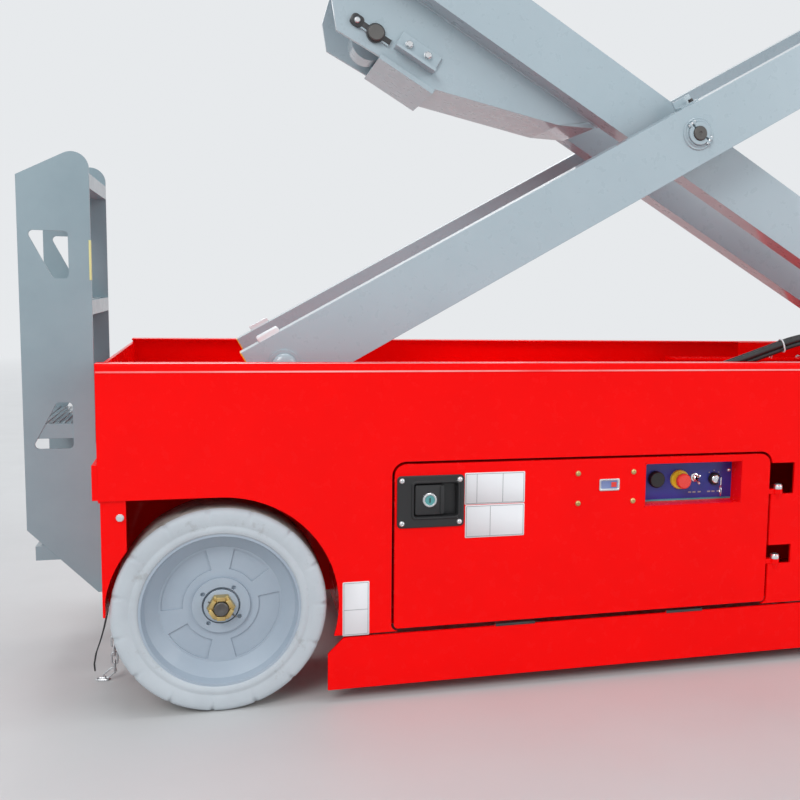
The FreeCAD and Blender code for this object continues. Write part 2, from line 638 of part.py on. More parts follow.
# Side panel with its wheel arches, door opening and hinge pockets.
skin = ("-half_w", "-skin_y")
panel = join("panel_plate", [
    box("panel_sheet", ("back_x", "front_x"), skin, ("skirt_z", "panel_top")),
    box("panel_fold", ("back_x", "front_x"), ("-half_w", "-skin_y + panel_lip"),
        ("panel_top - fold_t", "panel_top"))])
wide = ("-half_w - 1", "-skin_y + 1")
holes = [panel_blank("door_hole", ("door_x0 - door_gap", "door_x1 + door_gap"),
                     ("door_low - door_gap", "door_top + door_gap"), "door_foot + door_gap",
                     "door_r + door_gap", wide)]
for end, axle, x in (("rear", "rear_ax", ("back_x - 1", "rear_ax")),
                     ("front", "front_ax", ("front_ax", "front_x + 1"))):
    holes.append(rod(end + "_arch", "Y", "arch_r", wide, (axle, "axle_z")))
    holes.append(box(end + "_open", x, wide, ("skirt_z - 1", "axle_z + arch_r")))
HINGES = (("up", "hinge_up", "pocket_up"), ("dn", "hinge_dn", "pocket_dn"))
hinge_pins = []
for spot, z, tall in HINGES:
    holes.append(box("pocket_" + spot, ("door_x1 - 2", "door_x1 + pocket_w"), wide,
                     (z + " - seat", z + " + " + tall)))
    hinge_pins.append(rod("hinge_pin_" + spot, "Z", "hinge_d / 2",
                          (z + " - tab_t", z + " + tab_t + pin_head"), ("hinge_x", "-hinge_y")))
    hinge_pins.append(rod("hinge_head_" + spot, "Z", "hinge_eye / 2 - 1",
                          (z + " + tab_t + seat", z + " + tab_t + pin_head"),
                          ("hinge_x", "-hinge_y")))
right_panel = node("right_panel", join("right_panel", [cut("panel_cut", panel, holes)]
                                       + hinge_pins))
node("left_panel", other_side("left_panel", right_panel))

# Door: folded sheet hung on two tabs at its front edge, with a hole for the latch cup.
def door_sheet(name, inset, y):
    return panel_blank(name, ("door_x0 + " + inset, "door_x1 - " + inset),
                       ("door_low + " + inset, "door_top - " + inset),
                       "door_foot - " + inset, "door_r - " + inset, y)


door_body = door_sheet("door_outer", "0", ("-half_w", "-half_w + door_fold"))
door_void = door_sheet("door_inner", "door_t", ("-half_w + door_t", "-half_w + door_fold + 1"))
cup_hole = box("cup_hole", ("latch_x + cup_x", "latch_x + cup_x + cup_w"),
               ("-half_w - 1", "-half_w + door_t + 1"),
               ("latch_z + cup_z", "latch_z + cup_z + cup_h"))
tabs, eyes = [], []
for spot, z, tall in HINGES:
    tab_z = (z, z + " + tab_t")
    tabs.append(box("tab_" + spot, ("door_x1 - tab_in", "hinge_x"),
                    ("-half_w + 1", "-hinge_y + hinge_eye / 2"), tab_z))
    tabs.append(rod("tab_end_" + spot, "Z", "hinge_eye / 2", tab_z, ("hinge_x", "-hinge_y")))
    eyes.append(rod("tab_bore_" + spot, "Z", "hinge_d / 2 + pin_fit",
                    (z + " - 1", z + " + tab_t + 1"), ("hinge_x", "-hinge_y")))
hung = cut("door_bored", join("door_hung", [cut("door_shell", door_body, [door_void, cup_hole])]
                              + tabs), eyes)
node("left_door", other_side("left_door", hung))
window = box("control_window", ("box_x", "box_x + panel_w"),
             ("-half_w - 1", "-half_w + door_fold + 1"), ("panel_z", "panel_z + panel_h"))
node("right_door", cut("right_door", hung, [window]))

# Latch: rounded plate with a pull cup, a paddle across part of it and a round lock.
latch_z = ("latch_z + cup_z", "latch_z + cup_z + cup_h")
cup_x = ("latch_x + cup_x", "latch_x + cup_x + cup_w")
latch = cut("latch_cupped", join("latch_form", [
    panel_blank("latch_plate", ("latch_x", "latch_x + latch_w"), ("latch_z", "latch_z + latch_h"),
                "latch_r", "latch_r", ("-half_w - latch_t", "-half_w")),
    box("latch_cup", (cup_x[0] + " + seat", cup_x[1] + " - seat"), ("-half_w - 1", "-half_w + cup_d"),
        (latch_z[0] + " + seat", latch_z[1] + " - seat"))]),
    [box("cup_room", (cup_x[0] + " + cup_t", cup_x[1] + " - cup_t"),
         ("-half_w - latch_t - 1", "-half_w + cup_d - cup_t"),
         (latch_z[0] + " + cup_t", latch_z[1] + " - cup_t"))])
latch = join("latch_body", [
    latch,
    box("latch_paddle", (cup_x[0], cup_x[0] + " + paddle_w"), ("-half_w - 1", "-half_w + cup_d - 1"),
        (latch_z[0] + " + cup_t * 2", latch_z[1] + " - cup_t * 2")),
    rod("latch_lock", "Y", "lock_d / 2", ("-half_w - latch_t - 3", "-half_w"),
        ("latch_x + lock_x", "latch_z + cup_z + cup_h / 2"))])
node("right_latch", latch)
node("left_latch", other_side("left_latch", latch))

# Ground controls: a boxed recess with its buttons.
control_out = box("control_case", ("box_x", "box_x + panel_w"),
                  ("-half_w", "-half_w + panel_d"), ("panel_z", "panel_z + panel_h"))
face_y = "-half_w + panel_d - panel_face"
control_in = box("control_hollow", ("box_x + panel_wall", "box_x + panel_w - panel_wall"),
                 ("-half_w - 1", face_y), ("panel_z + panel_wall", "panel_z + panel_h - panel_wall"))
CONTROLS = (
    # name, along and up from the recess's lower rear corner, radius, height
    ("plug", 43, 48, 17, 12), ("stop_base", 96, 46, 20, 8), ("stop_cap", 96, 46, 16, 30),
    ("toggle", 131, 49, 6, 26), ("key_switch", 176, 45, 13, 10))
buttons = []
for name, along, up, radius, tall in CONTROLS:
    buttons.append(rod(name, "Y", str(radius), ("%s - %d" % (face_y, tall), face_y + " + 1"),
                       ("box_x + %d" % along, "panel_z + %d" % up)))
node("ground_controls", join("ground_controls",
                             [cut("control_recess", control_out, [control_in])] + buttons))

# Heavy blocks in the side bays.
for name, kind, y in (
        ("battery_pack", "battery", ("-floor_y + block_out", "-wall_out - block_in")),
        ("hydraulic_unit", "hydraulic", ("wall_out + block_in", "floor_y - block_out"))):
    block_x = "bay_back + bulk_t + %s_x" % kind
    node(name, box(name, (block_x, "%s + %s_len" % (block_x, kind)), y,
                   ("floor_z + floor_t", "floor_z + floor_t + %s_h" % kind)))

# Pothole guard hung under the skirt.
guard_sheet = plate("guard_plate", "XZ", (
    ("guard_x0", "guard_low"), ("guard_x1", "guard_low"),
    ("guard_x1", "guard_top - guard_cut"), ("guard_x1 - guard_cut", "guard_top"),
    ("guard_x0 + guard_cut", "guard_top"), ("guard_x0", "guard_top - guard_cut")),
    ("-half_w", "-half_w + guard_t"))
guard_knuckles = []
for n in (1, 2, 3):
    middle = "guard_x0 + %d * (guard_x1 - guard_x0) / 4" % n
    guard_knuckles.append(rod("guard_knuckle_%d" % n, "X", "guard_pin / 2",
                              (middle + " - knuckle_len / 2", middle + " + knuckle_len / 2"),
                              ("-half_w + guard_t / 2", "skirt_z - seat - guard_pin / 2")))
guard = join("guard_hung", [guard_sheet] + guard_knuckles)
node("right_guard", guard)
node("left_guard", other_side("left_guard", guard))

# Ladder: two stringers with hand holes and four steps.
stringer = plate("stringer_blank", "XZ", (
    ("ladder_x0", "ladder_low + ladder_foot"),
    ("ladder_x1 + ladder_nose - ladder_toe", "ladder_low"),
    ("ladder_x1 + ladder_nose", "ladder_low"), ("ladder_x1 + ladder_nose", "step_z"),
    ("ladder_x1", "step_z + bumper_h"), ("ladder_x1", "ladder_top", "ladder_r"),
    ("ladder_x0", "ladder_top - ladder_slope")),
    ("-ladder_w / 2", "-ladder_w / 2 + ladder_t"))
through = ("-ladder_w / 2 - 1", "-ladder_w / 2 + ladder_t + 1")
grip_x0, grip_x1 = "ladder_x0 + grip_x", "ladder_x0 + grip_x + grip_w"
hand_holes = [
    plate("upper_hole", "XZ", (
        (grip_x0, "grip_up + grip_h", "grip_r"), (grip_x0 + " + grip_cut", "grip_up", "grip_r"),
        (grip_x1, "grip_up", "grip_r"), (grip_x1, "grip_up + grip_h", "grip_r")), through),
    plate("lower_hole", "XZ", (
        (grip_x0, "grip_dn", "grip_r"), (grip_x1, "grip_dn", "grip_r"),
        (grip_x1, "grip_dn + grip_h", "grip_r"),
        (grip_x0 + " + grip_cut", "grip_dn + grip_h", "grip_r")), through)]
right_stringer = cut("right_stringer", stringer, hand_holes)
steps = [box("step_%d" % n, ("ladder_x0 + step_in", "ladder_x1"),
             ("-ladder_w / 2 + 1", "ladder_w / 2 - 1"),
             ("rung_top - %d * rung_gap" % n, "rung_top - %d * rung_gap + step_t" % n))
         for n in range(4)]
node("rear_ladder", join("rear_ladder", [right_stringer,
                                         other_side("left_stringer", right_stringer)] + steps))

# Wheels: a solid tyre on a dished rim with four pockets, a hub cover and puller holes.
tyre = turned("tyre_form", (
    ("-tyre_y", "rim_d / 2"), ("-tyre_y", "tyre_d / 2 - tyre_cut"),
    ("-tyre_y + tyre_cut", "tyre_d / 2"), ("-tyre_y + tyre_w - tyre_cut", "tyre_d / 2"),
    ("-tyre_y + tyre_w", "tyre_d / 2 - tyre_cut"), ("-tyre_y + tyre_w", "rim_d / 2")))
bore_r = "spindle_d / 2 + pin_fit"
rim_y0, rim_y1 = "-tyre_y + rim_in", "-tyre_y + tyre_w - rim_back"
dish = turned("dish_form", (
    (rim_y0, "rim_d / 2"), (rim_y0, "rim_d / 2 - rim_edge"),
    ("-tyre_y + lip_in", "rim_d / 2 - rim_t + lip_out"), ("-disc_y", "disc_d / 2"),
    ("-disc_y", "hub_d / 2"), ("-disc_y - hub_t", "hub_d / 2"),
    ("-disc_y - hub_t", bore_r + " + hub_wall"), ("-disc_y + 1", bore_r + " + hub_wall"),
    ("-disc_y + 1", bore_r), ("-disc_y + hub_len", bore_r),
    ("-disc_y + hub_len", "hub_d / 2 - hub_cone"), ("-disc_y + disc_t", "hub_d / 2"),
    ("-disc_y + disc_t", "rim_d / 2 - rim_t"), (rim_y1, "rim_d / 2 - rim_t"),
    (rim_y1, "rim_d / 2")))
WELLS = ((104, 79), (36, 41), (284, 86), (208, 48))     # start and sweep, from +X towards +Z
JACKS = (55, 145, 235, 325)                             # angles of the puller holes
wells = []
for start, sweep in WELLS:
    pie = rod("well_%d" % start, "Y", "well_out / 2", ("-disc_y - hub_t", "-disc_y + well_d"),
              ("0", "0"))
    pie.Placement.Rotation = TURNS["Y"] * Rotation(Vector(0, 0, 1), -start - sweep)
    pie.Angle = sweep
    wells.append(pie)
well_ring = cut("well_ring", join("well_pies", wells),
                [rod("well_core", "Y", "well_in / 2",
                     ("-disc_y - hub_t - 1", "-disc_y + well_d + 1"), ("0", "0"))])
jacks = [rod("jack_hole_%d" % n, "Y", "jack_d / 2", ("-disc_y - hub_t - 1", "-disc_y"),
             ("jack_r * cos(%d)" % angle, "jack_r * sin(%d)" % angle))
         for n, angle in enumerate(JACKS)]
rim = cut("rim_form", dish, [well_ring] + jacks)
WHEELS = (("rear_right", "rear_ax", False), ("rear_left", "rear_ax", True),
          ("front_right", "front_ax", False), ("front_left", "front_ax", True))
for spot, axle, mirrored in WHEELS:
    for piece, form in (("tyre", tyre), ("wheel", rim)):
        source = group("%s_%s_body" % (spot, piece), [form])
        at(source, x=axle, z="axle_z")
        name = "%s_%s" % (spot, piece)
        if mirrored:
            node(name, other_side(name, source))
        else:
            node(name, group(name, [source]))

# Front knuckles: kingpin, block, spindle and steering arm.
knuckle = join("knuckle_form", [
    rod("kingpin", "Z", "king_d / 2", ("axle_z - yoke_h / 2 - yoke_t - king_out",
                                       "axle_z + yoke_h / 2 + yoke_t + king_out"),
        ("front_ax", "-king_y")),
    box("knuckle_block", ("front_ax - knuckle_w / 2", "front_ax + knuckle_w / 2"),
        ("-king_y - knuckle_y", "-king_y + knuckle_in"),
        ("axle_z - yoke_h / 2 + knuckle_gap", "axle_z + yoke_h / 2 - knuckle_gap")),
    rod("knuckle_spindle", "Y", "spindle_d / 2", ("-disc_y - hub_t - spindle_out", "-king_y"),
        ("front_ax", "axle_z")),
    box("knuckle_arm", ("front_ax - steer_arm - steer_tip", "front_ax"),
        ("-king_y - steer_w / 2", "-king_y + steer_w / 2"),
        ("axle_z + steer_up - steer_t", "axle_z + steer_up"))])
node("right_knuckle", knuckle)
node("left_knuckle", other_side("left_knuckle", knuckle))
tie_eye = rod("tie_eye", "Z", "tie_d / 2 + tie_ring", ("tie_z - tie_d / 2", "tie_z + tie_d / 2"),
              ("front_ax - steer_arm", "-king_y"))
node("tie_rod", join("tie_rod", [
    rod("tie_bar", "Y", "tie_d / 2 - tie_thin", ("-king_y", "king_y"),
        ("front_ax - steer_arm", "tie_z")),
    tie_eye, other_side("tie_eye_left", tie_eye)]))


# Scissor arms. Each stage is built flat about its centre pin, then turned and lifted.
def arm_tube(name, y0, y1, ends):
    """Hollow rectangular tube with a boss and a pin hole at its centre and ends."""
    body = box(name + "_tube", ("-arm_half - arm_end", "arm_half + arm_end"), (y0, y1),
               ("-arm_deep / 2", "arm_deep / 2"))
    hollow = box(name + "_hollow", ("-arm_half - arm_end - 1", "arm_half + arm_end + 1"),
                 (y0 + " + arm_wall", y1 + " - arm_wall"),
                 ("-arm_deep / 2 + arm_wall", "arm_deep / 2 - arm_wall"))
    bosses = [rod("%s_boss_%d" % (name, n), "Y", "boss_d / 2", ends, (x, "0"))
              for n, x in enumerate(("-arm_half", "0", "arm_half"))]
    bores = [rod("%s_bore_%d" % (name, n), "Y", "hole_r", (ends[0] + " - 1", ends[1] + " + 1"),
                 (x, "0")) for n, x in enumerate(("-arm_half", "0", "arm_half"))]
    welded = join(name + "_welded", [cut(name + "_shell", body, [hollow])] + bosses)
    return welded, bores


for stage in (1, 2, 3):
    centre = {"x": "pivot_x + reach", "z": "pin_z + %d * rise" % (2 * stage - 1)}
    outer, bores = arm_tube("outer_%d" % stage, "-outer_out", "-outer_y",
                            ("-outer_out - boss_out", "-mid_y - face_gap / 2"))
    outer = cut("outer_%d_right" % stage, outer, bores)
    both = group("outer_arms_%d" % stage, [outer, other_side("outer_%d_left" % stage, outer)])
    node("outer_arms_%d" % stage, at(both, axis=(0, 1, 0), angle="-rest_angle", **centre))

    inner, bores = arm_tube("inner_%d" % stage, "-inner_out", "-inner_y",
                            ("-mid_y + face_gap / 2", "-inner_y"))
    frame_parts = [inner, other_side("inner_%d_left" % stage, inner)]
    for n, x in enumerate(("-arm_half", "arm_half")):
        frame_parts.append(rod("cross_%d_%d" % (stage, n), "Y", "cross_d / 2",
                               ("-inner_y - 1", "inner_y + 1"), (x, "0")))
    bores += [other_side("inner_%d_bore_left_%d" % (stage, n), b) for n, b in enumerate(bores)]
    if stage == 1:
        pin_s, pin_n = "-eye_s", "-eye_n"
        side = plate("bracket_side", "XZ", (
            (pin_s + " - fish_back", "-arm_deep / 2 + fish_lap"),
            (pin_s + " - fish_shin", pin_n + " + fish_rise"),
            (pin_s + " - fish_heel", pin_n + " - fish_foot"),
            (pin_s + " + fish_toe", pin_n + " - fish_sole"),
            (pin_s + " + fish_knee", "-fish_deep"),
            (pin_s + " + fish_nose", "-arm_deep / 2 + fish_lap")), ("-inner_y - 1", "-inner_y + fish_t"))
        middle = plate("bracket_middle", "XZ", (
            (pin_s + " + fish_toe - fish_mid", pin_n + " - fish_sole"),
            (pin_s + " + fish_toe", pin_n + " - fish_sole"), (pin_s + " + fish_knee", "-fish_deep"),
            (pin_s + " + fish_end", "-arm_deep / 2 - fish_t"),
            (pin_s + " + fish_end - fish_t / 2", "-arm_deep / 2"),
            (pin_s + " + fish_knee - fish_t / 4", "-fish_deep + fish_t"),
            (pin_s + " + fish_toe - fish_t / 4", pin_n + " - fish_sole + fish_t"),
            (pin_s + " + fish_toe - fish_mid", pin_n + " - fish_sole + fish_t")),
            ("-inner_y", "inner_y"))
        eye_pin = rod("eye_pin", "Y", "pin_r", ("-inner_y - fish_t", "inner_y + fish_t"),
                      (pin_s, pin_n))
        cover = box("bracket_cover", (pin_s + " + shield_x", pin_s + " + shield_x + shield_len"),
                    ("-inner_y - fish_t", "inner_y + fish_t"),
                    (pin_n + " - fish_sole - 1 - shield_t", pin_n + " - fish_sole - 1"))
        bar_y = ("-inner_y - 1 - keeper_t", "-inner_y")
        keeper = box("keeper_bar", (pin_s + " - keeper_up", pin_s + " + keeper_dn"), bar_y,
                     (pin_n + " - keeper_h / 2", pin_n + " + keeper_h / 2"))
        angle_x = (pin_s + " + angle_x", pin_s + " + angle_x + angle_len")
        angle_z = pin_n + " - angle_dn"
        legs = [box("angle_leg", angle_x, bar_y, (angle_z, angle_z + " + angle_h")),
                box("angle_foot", angle_x, ("-inner_y - angle_w", "-inner_y"),
                    (angle_z, angle_z + " + keeper_t"))]
        frame_parts += [side, other_side("bracket_side_left", side), middle, eye_pin, cover,
                        keeper, other_side("keeper_bar_left", keeper)] + legs
    if stage == 2:
        ear = plate("head_ear", "XZ", (
            ("head_s - ear_w / 2", "-arm_deep / 2 + ear_in"),
            ("head_s + ear_w / 2", "-arm_deep / 2 + ear_in"),
            ("head_s + ear_w / 2", "arm_deep / 2 - ear_in"),
            ("head_s - ear_w / 2", "arm_deep / 2 - ear_in")),
            ("-eye_w / 2 - ear_gap - ear_t", "-eye_w / 2 - ear_gap"))
        tube = rod("head_tube", "Y", "ear_tube / 2", ("-inner_y - 1", "-eye_w / 2 - ear_gap"),
                   ("head_s", "0"))
        frame_parts += [ear, tube, other_side("head_ear_left", ear),
                        other_side("head_tube_left", tube)]
    whole = join("inner_%d_frame" % stage, frame_parts)
    done = cut("inner_arms_%d" % stage, whole, bores)
    node("inner_arms_%d" % stage, at(done, axis=(0, 1, 0), angle="rest_angle", **centre))

    # Pins carried by the outer arms: the centre pin and the pins shared with the next stages.
    spots = ["0"]
    spots += ["arm_half"] if stage < 3 else []
    spots += ["-arm_half"] if stage > 1 else []
    pins = []
    for n, x in enumerate(spots):
        name = "pin_%d_%d" % (stage, n)
        pins.append(join(name, [
            rod(name + "_bar", "Y", "pin_r", ("-outer_out - boss_out - ring_t - pin_out",
                                              "-inner_y - pin_in"), (x, "0")),
            rod(name + "_ring", "Y", "ring_d / 2", ("-outer_out - boss_out - ring_t",
                                                    "-outer_out - boss_out"), (x, "0"))]))
    pins += [other_side(pin.Name + "_left", pin) for pin in pins]
    node("pins_%d" % stage, at(group("pins_%d" % stage, pins), axis=(0, 1, 0),
                               angle="-rest_angle", **centre))

# Guide rollers at the sliding ends of the lowest and highest arms.
for level, z, inside in (("lower", "pin_z", "-inner_y - pin_in"),
                         ("upper", "top_z", "-outer_y - pin_in")):
    wheel_span = ("-roller_y - roller_w", "-roller_y")
    right = join(level + "_roller", [
        rod(level + "_roller_wheel", "Y", "roller_d / 2", wheel_span, ("slide_x", z)),
        rod(level + "_roller_axle", "Y", "pin_r", ("-roller_y - roller_w - roller_end", inside),
            ("slide_x", z))])
    node(level + "_rollers", group(level + "_rollers",
                                   [right, other_side(level + "_roller_left", right)]))

# Lift cylinder between the lowest inner frame and the highest one.
EYE = ("(reach - eye_s * cos(rest_angle) - eye_n * sin(rest_angle))",
       "(rise + eye_s * sin(rest_angle) - eye_n * cos(rest_angle))")
HEAD = ("(reach + head_s * cos(rest_angle))", "(3 * rise - head_s * sin(rest_angle))")
PLACES.update({"eye_x": "pivot_x + " + EYE[0], "eye_z": "pin_z + " + EYE[1],
               "head_x": "pivot_x + " + HEAD[0], "head_z": "pin_z + " + HEAD[1],
               "cyl_len": "sqrt((head_x - (eye_x)) ^ 2 + (head_z - (eye_z)) ^ 2)",
               "cyl_tilt": "atan2(head_z - (eye_z); head_x - (eye_x))"})
barrel = cut("barrel_bored", join("barrel_form", [
    rod("barrel_tube", "X", "barrel_d / 2", ("barrel_x", "barrel_len"), ("0", "0")),
    rod("barrel_eye", "Y", "eye_d / 2", ("-eye_w / 2", "eye_w / 2"), ("0", "0")),
    box("barrel_neck", ("neck_x", "barrel_x + neck_lap"),
        ("-eye_w / 2 + neck_in", "eye_w / 2 - neck_in"), ("-neck_h / 2", "neck_h / 2"))]), [
    rod("barrel_bore", "X", "rod_d / 2 + rod_fit", ("bore_x", "barrel_len + 1"), ("0", "0")),
    rod("barrel_eye_bore", "Y", "hole_r", ("-eye_w", "eye_w"), ("0", "0"))])
node("cylinder_barrel", at(barrel, x="eye_x", z="eye_z", axis=(0, 1, 0), angle="-(cyl_tilt)"))
piston = join("piston_form", [
    rod("piston_bar", "X", "rod_d / 2", ("rod_in", "cyl_len - rod_end"), ("0", "0")),
    rod("piston_eye", "Y", "head_d / 2", ("-eye_w / 2", "eye_w / 2"), ("cyl_len", "0"))])
node("cylinder_rod", at(piston, x="eye_x", z="eye_z", axis=(0, 1, 0), angle="-(cyl_tilt)"))

# Platform: deck frame, plate, roller channels and pivot lugs.
deck = [box("deck_plate", ("deck_x0", "deck_x1"), ("-deck_w / 2", "deck_w / 2"),
            ("floor_top - deck_t", "floor_top"))]
deck += wall_pair("deck_side", ("deck_x0", "deck_x1"), ("-deck_w / 2", "-deck_w / 2 + side_w"),
                  ("deck_z", "floor_top - deck_t"))
for n in range(int(number("rib_count"))):
    x = "deck_x0 + %d * (deck_len - side_w) / (rib_count - 1)" % n
    deck.append(box("deck_rib_%d" % n, (x, x + " + side_w"), ("-deck_w / 2 + 1", "deck_w / 2 - 1"),
                    ("deck_z", "floor_top - deck_t")))
guide_x = ("pivot_x + arm_half", "deck_x1")
for flange, z in (("low", "top_z - roller_d / 2 - rail_gap - rail_t"),
                  ("high", "top_z + roller_d / 2 + rail_gap")):
    deck += wall_pair("guide_" + flange, guide_x, flange_y, (z, z + " + rail_t"))
deck += wall_pair("guide_web", guide_x, web_y_span,
                  ("top_z - roller_d / 2 - rail_gap - rail_t", "floor_top - deck_t + 1"))
deck.append(box("tread_plate", ("deck_x0 + tube_d + tread_gap", "ext_x0 - tread_gap"),
                ("-post_y + tube_r + tread_gap", "post_y - tube_r - tread_gap"),
                ("floor_top", "floor_top + tread_t")))
deck += wall_pair("deck_lug", ("pivot_x - ear_len / 2", "pivot_x + ear_len / 2"),
                  ("-mid_y - lug_t", "-mid_y"), ("top_z - ear_len / 2", "deck_z + 1"))
deck_pin = rod("deck_pin", "Y", "pin_r", ("-mid_y - lug_t - pin_out", "-inner_y - pin_in"),
               ("pivot_x", "top_z"))
deck += [deck_pin, other_side("deck_pin_left", deck_pin)]
node("platform_deck", join("platform_deck", deck))

# Guardrails of the main deck: posts, top and middle tubes, toe boards.
TUBES = (("top", "rail_z - tube_r"), ("middle", "floor_top + rail_h / 2"))
rails = [rod("post_%d" % n, "Z", "post_r", ("floor_top", "rail_z - tube_r"), (x, "-post_y"))
         for n, x in enumerate(("deck_x0 + tube_r", "deck_x0 + deck_len / 2", "rail_x1 - tube_r"))]
rails += [rod(name + "_rail", "X", "tube_r", ("deck_x0", "rail_x1"), ("-post_y", z))
          for name, z in TUBES]
rails.append(box("toe_side", ("deck_x0 + tube_r", "rail_x1 - tube_r"),
                 ("-post_y - toe_t / 2", "-post_y + toe_t / 2"), ("floor_top", "floor_top + toe_h")))
side_rails = join("side_rails", rails)
node("platform_rails", group("platform_rails", [side_rails,
                                                other_side("side_rails_left", side_rails)]))

# Extension deck riding on the main deck, with its own rails and toe boards.
runner_y = ("-ext_y - tube_r", "-ext_y + tube_r")
ext_runner = box("ext_runner", ("ext_x0", "ext_x1"), runner_y,
                 ("floor_top + seat", "floor_top + ext_gap + 1"))
ext = [box("ext_deck", ("ext_x0", "ext_x1"), (runner_y[0], "ext_y + tube_r"),
           ("floor_top + ext_gap", "ext_top")),
       ext_runner, other_side("ext_runner_left", ext_runner),
       box("ext_toe_front", ("ext_x1 - tube_r - toe_t / 2", "ext_x1 - tube_r + toe_t / 2"),
           ("-ext_y", "ext_y"), ("ext_top - 1", "floor_top + toe_h"))]
ext_side = [rod("ext_post_%d" % n, "Z", "post_r", ("floor_top + ext_gap + 1", "rail_z - tube_r"),
                (x, "-ext_y")) for n, x in enumerate(("ext_x0 + tube_r", "ext_x1 - tube_r"))]
ext_side.append(box("ext_toe_side", ("ext_x0 + tube_r", "ext_x1 - tube_r"),
                    ("-ext_y - toe_t / 2", "-ext_y + toe_t / 2"),
                    ("ext_top - 1", "floor_top + toe_h")))
for name, z in TUBES:
    ext_side.append(rod("ext_%s_rail" % name, "X", "tube_r", ("ext_x0", "ext_x1"), ("-ext_y", z)))
    ext.append(rod("ext_%s_front" % name, "Y", "post_r - tube_step", ("-ext_y", "ext_y"),
                   ("ext_x1 - tube_r", z)))
ext_right = join("ext_side_rails", ext_side)
node("extension_deck", join("extension_deck",
                            ext + [ext_right, other_side("ext_side_rails_left", ext_right)]))

# Entry gate across the rear of the platform, hung on its own right post.
gate_x, gate_foot = "deck_x0 + tube_r", "floor_top + gate_low"
gate = [rod("gate_post_%d" % n, "Z", "tube_r", (gate_foot, "rail_z - tube_r"), (gate_x, y))
        for n, y in enumerate(("-gate_y", "gate_y"))]
gate += [rod("gate_" + name, "Y", "post_r", ("-gate_y", "gate_y"), (gate_x, z))
         for name, z in TUBES + (("low", gate_foot + " + gate_bar"),)]
gate.append(box("gate_toe", (gate_x + " - toe_t / 2", gate_x + " + toe_t / 2"),
                ("-gate_y", "gate_y"), (gate_foot, "floor_top + toe_h")))
LUGS = (
    # name, lower edge, height, side
    ("hinge_low", "floor_top + 250", 50, -1), ("hinge_high", "rail_z - 300", 50, -1),
    ("latch", "rail_z - 150", 60, 1))
for name, z, tall, side in LUGS:
    ends = ["gate_y", "post_y - post_r - seat"]
    if side < 0:
        ends = ["-(%s)" % end for end in reversed(ends)]
    gate.append(box("gate_" + name, (gate_x + " - gate_lug / 2", gate_x + " + gate_lug / 2"),
                    ends, (z, "%s + %d" % (z, tall))))
node("entry_gate", join("entry_gate", gate))

# Platform control box with a sloping face, hooked over the extension's side rail.
box_top = "rail_z - box_drop"
hook_x = ("ext_x1 - box_end - box_len / 2 - hook_w / 2", "ext_x1 - box_end - box_len / 2 + hook_w / 2")
node("control_box", join("control_box", [
    plate("control_body", "YZ", (
        ("box_y", box_top + " - box_h"), ("box_y + box_deep - box_chin", box_top + " - box_h"),
        ("box_y + box_deep", box_top + " - box_h + box_chin * 2"),
        ("box_y + box_deep", box_top + " - box_brow"), ("box_y + box_deep - box_slope", box_top),
        ("box_y", box_top)), ("ext_x1 - box_end - box_len", "ext_x1 - box_end")),
    box("control_hook", hook_x, ("-ext_y", "box_y + 1"), ("rail_z", "rail_z + hook_t")),
    box("control_strap", hook_x, ("box_y", "box_y + hook_t"), (box_top + " - 1", "rail_z + hook_t")),
    rod("control_stick", "Z", "stick_d / 2", (box_top + " - box_brow", "rail_z + stick_up"),
        ("ext_x1 - box_end - box_len / 2", "box_y + stick_y"))]))

doc.recompute()
bad = [o.Name for o in doc.Objects if {"Invalid", "Error"} & set(o.State)]
if bad:
    raise RuntimeError("objects that failed to recompute: " + ", ".join(bad))
os.makedirs("parts", exist_ok=True)
for name, obj in NODES:
    shape = obj.Shape
    if shape.isNull() or not shape.isValid() or shape.Volume <= 0:
        raise RuntimeError("node %s has no sound shape" % name)
    shape.exportStep("parts/%s.step" % name)
print("%d nodes written" % len(NODES))
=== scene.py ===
"""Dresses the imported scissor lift: finishes for its solids, and the small parts they leave out.

Meshes are drawn in millimetres in the machine's own frame, and piece() turns them to metres.
"""

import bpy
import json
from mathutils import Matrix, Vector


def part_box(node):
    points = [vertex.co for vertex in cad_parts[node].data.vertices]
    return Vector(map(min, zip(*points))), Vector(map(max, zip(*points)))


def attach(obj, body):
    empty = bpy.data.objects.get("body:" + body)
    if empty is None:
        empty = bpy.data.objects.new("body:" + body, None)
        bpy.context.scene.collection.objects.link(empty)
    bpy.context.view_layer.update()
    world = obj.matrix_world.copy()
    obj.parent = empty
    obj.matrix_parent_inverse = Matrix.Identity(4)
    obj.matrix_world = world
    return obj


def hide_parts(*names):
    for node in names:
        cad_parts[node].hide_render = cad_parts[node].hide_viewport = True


bl_info = {
    "name": "Scissor lift dressing",
    "version": (1, 0, 0),
    "blender": (4, 5, 0),
    "location": "View3D > Sidebar > Lift",
    "description": "Finishes, wheels, latches, controls and fittings of a slab scissor lift",
    "category": "Object",
}

import json
import math

import bmesh
import bpy
from mathutils import Matrix, Vector

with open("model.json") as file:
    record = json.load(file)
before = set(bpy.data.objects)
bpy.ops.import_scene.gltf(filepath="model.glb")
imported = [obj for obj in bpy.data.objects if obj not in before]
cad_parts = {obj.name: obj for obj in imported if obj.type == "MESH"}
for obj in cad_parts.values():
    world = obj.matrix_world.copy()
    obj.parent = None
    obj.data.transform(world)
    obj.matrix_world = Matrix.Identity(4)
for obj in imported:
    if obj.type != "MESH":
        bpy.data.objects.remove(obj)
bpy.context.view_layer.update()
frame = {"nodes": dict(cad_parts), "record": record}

MM = 0.001
SIDES = {"right": -1, "left": 1}


def corners(node):
    """A node's lowest and highest corners, in millimetres."""
    return [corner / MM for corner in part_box(node)]


def centre(node):
    low, high = corners(node)
    return (low + high) / 2


